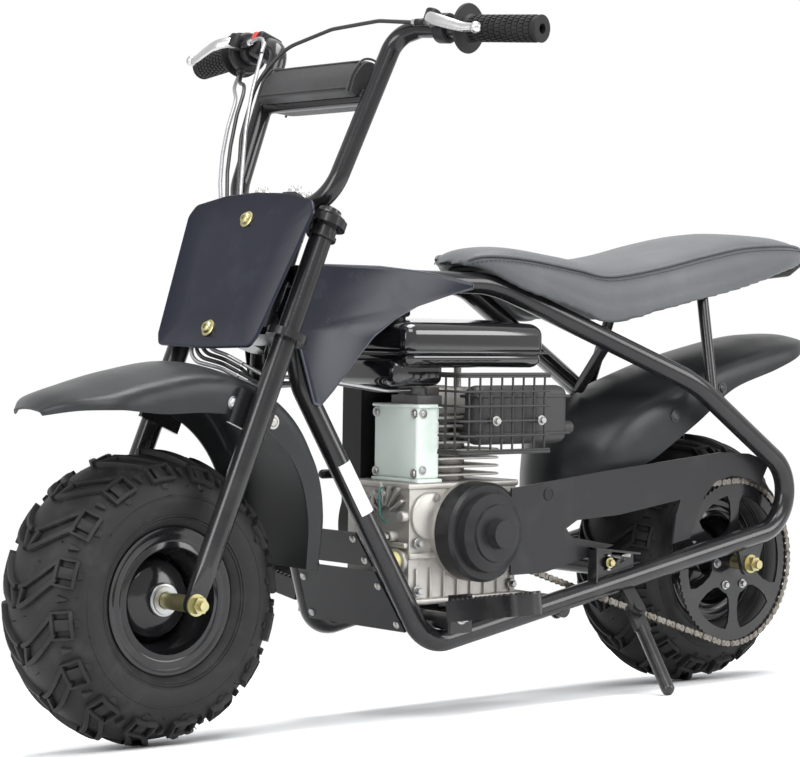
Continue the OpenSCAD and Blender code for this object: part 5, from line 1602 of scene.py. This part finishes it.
# The same four in the frame: one corner on the fork's scale, then corners on the bike's
FRAME_RUNS = [
    [(-50, -12, 306), (-205, -16, 398), (-240, -36, 378), (-332, -72, 180), (-358, -84, 152),
     (-610, -98, 154), (-730, -101, 193), (-900, -106.5, 208), (-1017, -106.5, 226),
     (-1020, -106.5, 203.8)],
    [(-60, 0, 312), (-290, 14, 430), (-350, 34, 420.5), (-389.6, 34, 420.5)],
    [(-60, 0, 300), (-290, 4, 430), (-350, 26, 420.5), (-389.4, 26, 420.5)],
    [(-60, 0, 294), (-290, -6, 430), (-350, 18, 420.5), (-393.2, 18, 420.5)],
]
CABLE_BEND = 30
CABLE_END_BEND = 14


def build_cables():
    looks = ("cable", "cable_bright", "cable", "cable_grey")
    groups = {}
    for bar_run, frame_run, look in zip(BAR_RUNS, FRAME_RUNS, looks):
        upper, lower = groups.setdefault(look, (Shell(), Shell()))
        upper.merge(tube(rounded_path(bar_run, BAR_RUN_BENDS, 5.0), CABLE_R, 12), ON_FORK)
        start = ON_FORK @ v3(-STEER_OFFSET - CABLE_BREAK, 0, frame_run[0][2])
        line = [start, ON_FORK @ v3(*frame_run[0])] + frame_run[1:]
        bends = [CABLE_BEND] * len(line)
        bends[0] = bends[-1] = 0
        if len(line) > 6:
            bends[-2] = CABLE_END_BEND
        lower.merge(tube(rounded_path(line, bends, 5.0), CABLE_R, 12))
    for look, (upper, lower) in groups.items():
        whole = look == "cable"
        publish("bar " + look, upper, "steering", [look], ["bar_cables"] if whole else [])
        publish("frame " + look, lower, "frame", [look], ["frame_cables"] if whole else [])


STAGE_SIZE = 26.0
# Name, place, target, size and share of the key power
LAMPS = (
    ("key", (1.6, 3.4, 3.6), (0, 0, 0.4), (2.6, 2.6), 0.75),
    ("front", (4.2, 0.6, 1.7), (0, 0, 0.45), (1.6, 2.6), 0.55),
    ("left", (-2.6, 3.6, 1.6), (0, 0, 0.4), (2.2, 2.0), 0.5),
    ("top", (-0.2, 0.4, 4.4), (0, 0, 0), (3.4, 2.0), 1.1),
)


def stage_material():
    s = Shade("studio floor")
    x, y, _ = s.place()
    far = ((x * x + y * y) ** 0.5).ramp(1.3, 3.4)
    node = s.nodes.new("ShaderNodeBsdfPrincipled")
    node.inputs["Base Color"].default_value = (0.93, 0.93, 0.93, 1)
    s.feed(node.inputs["Roughness"], s.noise(3.0) * 0.1 + 0.6)
    clear = s.nodes.new("ShaderNodeBsdfTransparent")
    mix = s.nodes.new("ShaderNodeMixShader")
    s.feed(mix.inputs[0], far)
    s.links.new(node.outputs[0], mix.inputs[1])
    s.links.new(clear.outputs[0], mix.inputs[2])
    s.links.new(mix.outputs[0], s.out.inputs["Surface"])
    return s.material


def lamp(name, place, target, size, power):
    data = bpy.data.lights.new(name, "AREA")
    data.shape = "RECTANGLE"
    data.size, data.size_y = size
    data.energy = power
    obj = bpy.data.objects.new(name, data)
    bpy.context.scene.collection.objects.link(obj)
    obj.location = place
    obj.rotation_euler = (Vector(target) - Vector(place)).to_track_quat("-Z", "Y").to_euler()
    return obj


def build_world():
    world = bpy.data.worlds.new("studio")
    bpy.context.scene.world = world
    world.use_nodes = True
    nodes, links = world.node_tree.nodes, world.node_tree.links
    nodes.clear()
    out = nodes.new("ShaderNodeOutputWorld")
    seen, lit = nodes.new("ShaderNodeBackground"), nodes.new("ShaderNodeBackground")
    seen.inputs["Color"].default_value = (1, 1, 1, 1)
    seen.inputs["Strength"].default_value = 1.0
    lit.inputs["Color"].default_value = (0.92, 0.95, 1.0, 1)
    lit.inputs["Strength"].default_value = STAGE.ambient
    mix = nodes.new("ShaderNodeMixShader")
    path = nodes.new("ShaderNodeLightPath")
    shown = path.outputs["Is Camera Ray"]
    for ray in ("Is Glossy Ray", "Is Transmission Ray"):
        either = nodes.new("ShaderNodeMath")
        either.operation = "MAXIMUM"
        links.new(shown, either.inputs[0])
        links.new(path.outputs[ray], either.inputs[1])
        shown = either.outputs[0]
    links.new(shown, mix.inputs[0])
    links.new(lit.outputs[0], mix.inputs[1])
    links.new(seen.outputs[0], mix.inputs[2])
    links.new(mix.outputs[0], out.inputs["Surface"])


CAMERA_ROWS = ((-0.753749, 0.657006, 0.01436), (-0.003489, -0.025852, 0.99966),
               (-0.657154, -0.753442, -0.021779))
CAMERA_PLACE = (1705.66, 2416.77, 504.65)
FOCAL_PIXELS = 2482.06
PHOTO_WIDTH = 800.0
SENSOR_WIDTH = 36.0


def build_stage():
    floor = bpy.data.meshes.new("floor")
    h = STAGE_SIZE / 2
    floor.from_pydata([(-h, -h, 0), (h, -h, 0), (h, h, 0), (-h, h, 0)], [], [(0, 1, 2, 3)])
    floor.materials.append(stage_material())
    obj = bpy.data.objects.new("floor", floor)
    bpy.context.scene.collection.objects.link(obj)
    for name, place, target, size, share in LAMPS:
        lamp(name, place, target, size, STAGE.key * share)
    build_world()
    right, up, forward = (Vector(r) for r in CAMERA_ROWS)
    data = bpy.data.cameras.new("photo view")
    data.sensor_width = SENSOR_WIDTH
    data.sensor_fit = "HORIZONTAL"
    data.lens = FOCAL_PIXELS / PHOTO_WIDTH * SENSOR_WIDTH
    camera = bpy.data.objects.new("photo view", data)
    bpy.context.scene.collection.objects.link(camera)
    turn = Matrix((right, up, -forward)).transposed()
    lean = PARKED.to_3x3().normalized()
    camera.matrix_world = Matrix.Translation(PARKED @ Vector(CAMERA_PLACE)) @ (lean @ turn).to_4x4()
    scene = bpy.context.scene
    scene.camera = camera
    scene.view_settings.view_transform = "Standard"


class TreadSettings(bpy.types.PropertyGroup):
    pitches: IntProperty(name="Tread pitches", description="Repeats of the tread round one tyre",
                         default=16, min=12, max=20)


class StageSettings(bpy.types.PropertyGroup):
    key: FloatProperty(name="Key light", description="Power of the largest lamp", default=210.0, min=10.0,
                       unit="POWER")
    ambient: FloatProperty(name="Ambient", description="Strength of the world's light", default=0.55,
                           min=0.0, subtype="FACTOR", max=2.0)


TREAD = None
STAGE = None


def operator(label, name, doc, action):
    """One operator class that runs one builder and raises if it fails."""
    def execute(self, context):
        action()
        return {"FINISHED"}
    return type("MINIBIKE_OT_" + name, (bpy.types.Operator,), {
        "bl_idname": "minibike." + name, "bl_label": label, "__doc__": doc, "execute": execute})


STEPS = (
    ("Materials", "materials", "Makes every procedural finish", make_materials),
    ("Finishes of CAD nodes", "finishes", "Gives the kept CAD nodes their finishes", paint_nodes),
    ("Tyres", "tyres", "Builds both tyres with their tread", build_tyres),
    ("Rims", "rims", "Builds the pressed rims and hubs", build_rims),
    ("Frame tubes", "frame_tubes", "Builds the two frame hoops and their welds", build_frame),
    ("Mudguards", "fenders", "Builds both mudguards and their screws", build_fenders),
    ("Plate and panels", "panels", "Builds the number plate and side panels", build_plate_and_panels),
    ("Seat", "seat", "Builds the padded seat, piping and pan", build_seat),
    ("Handlebar", "handlebar", "Builds the bar, pad and grips", build_handlebar),
    ("Levers", "levers", "Builds levers, perches and switch gear", build_levers),
    ("Cables", "cables", "Runs the control cables", build_cables),
    ("Fuel tank", "tank", "Builds the tank and its cap", build_tank),
    ("Muffler", "muffler", "Builds the muffler and its wire guard", build_muffler),
    ("Engine details", "engine", "Builds castings, fins, bolts and leads", build_engine_details),
    ("Drive", "drive", "Builds chain, sprocket and cover details", build_drive),
    ("Skid plate and pegs", "skid", "Builds rivets, teeth and bolts low down", build_skid_and_pegs),
    ("Stage", "stage", "Builds the floor, lights, world and camera", build_stage),
)
OPERATORS = tuple(operator(*step) for step in STEPS)


class MINIBIKE_PT_panel(bpy.types.Panel):
    """Buttons that rebuild each group."""
    bl_label = "Minibike"
    bl_idname = "MINIBIKE_PT_panel"
    bl_space_type = "VIEW_3D"
    bl_region_type = "UI"
    bl_category = "Minibike"

    def draw(self, context):
        column = self.layout.column()
        column.prop(context.scene.minibike_tread, "pitches")
        column.prop(context.scene.minibike_stage, "key")
        column.prop(context.scene.minibike_stage, "ambient")
        for kind in OPERATORS:
            column.operator(kind.bl_idname)


CLASSES = (TreadSettings, StageSettings, MINIBIKE_PT_panel) + OPERATORS


def register():
    for kind in CLASSES:
        bpy.utils.register_class(kind)
    bpy.types.Scene.minibike_tread = PointerProperty(type=TreadSettings)
    bpy.types.Scene.minibike_stage = PointerProperty(type=StageSettings)


def unregister():
    del bpy.types.Scene.minibike_tread
    del bpy.types.Scene.minibike_stage
    for kind in reversed(CLASSES):
        bpy.utils.unregister_class(kind)


def main():
    global TREAD, STAGE
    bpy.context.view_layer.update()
    register()
    TREAD, STAGE = bpy.context.scene.minibike_tread, bpy.context.scene.minibike_stage
    for _, name, _, _ in STEPS:
        getattr(bpy.ops.minibike, name)()


if __name__ == "__main__":
    main()
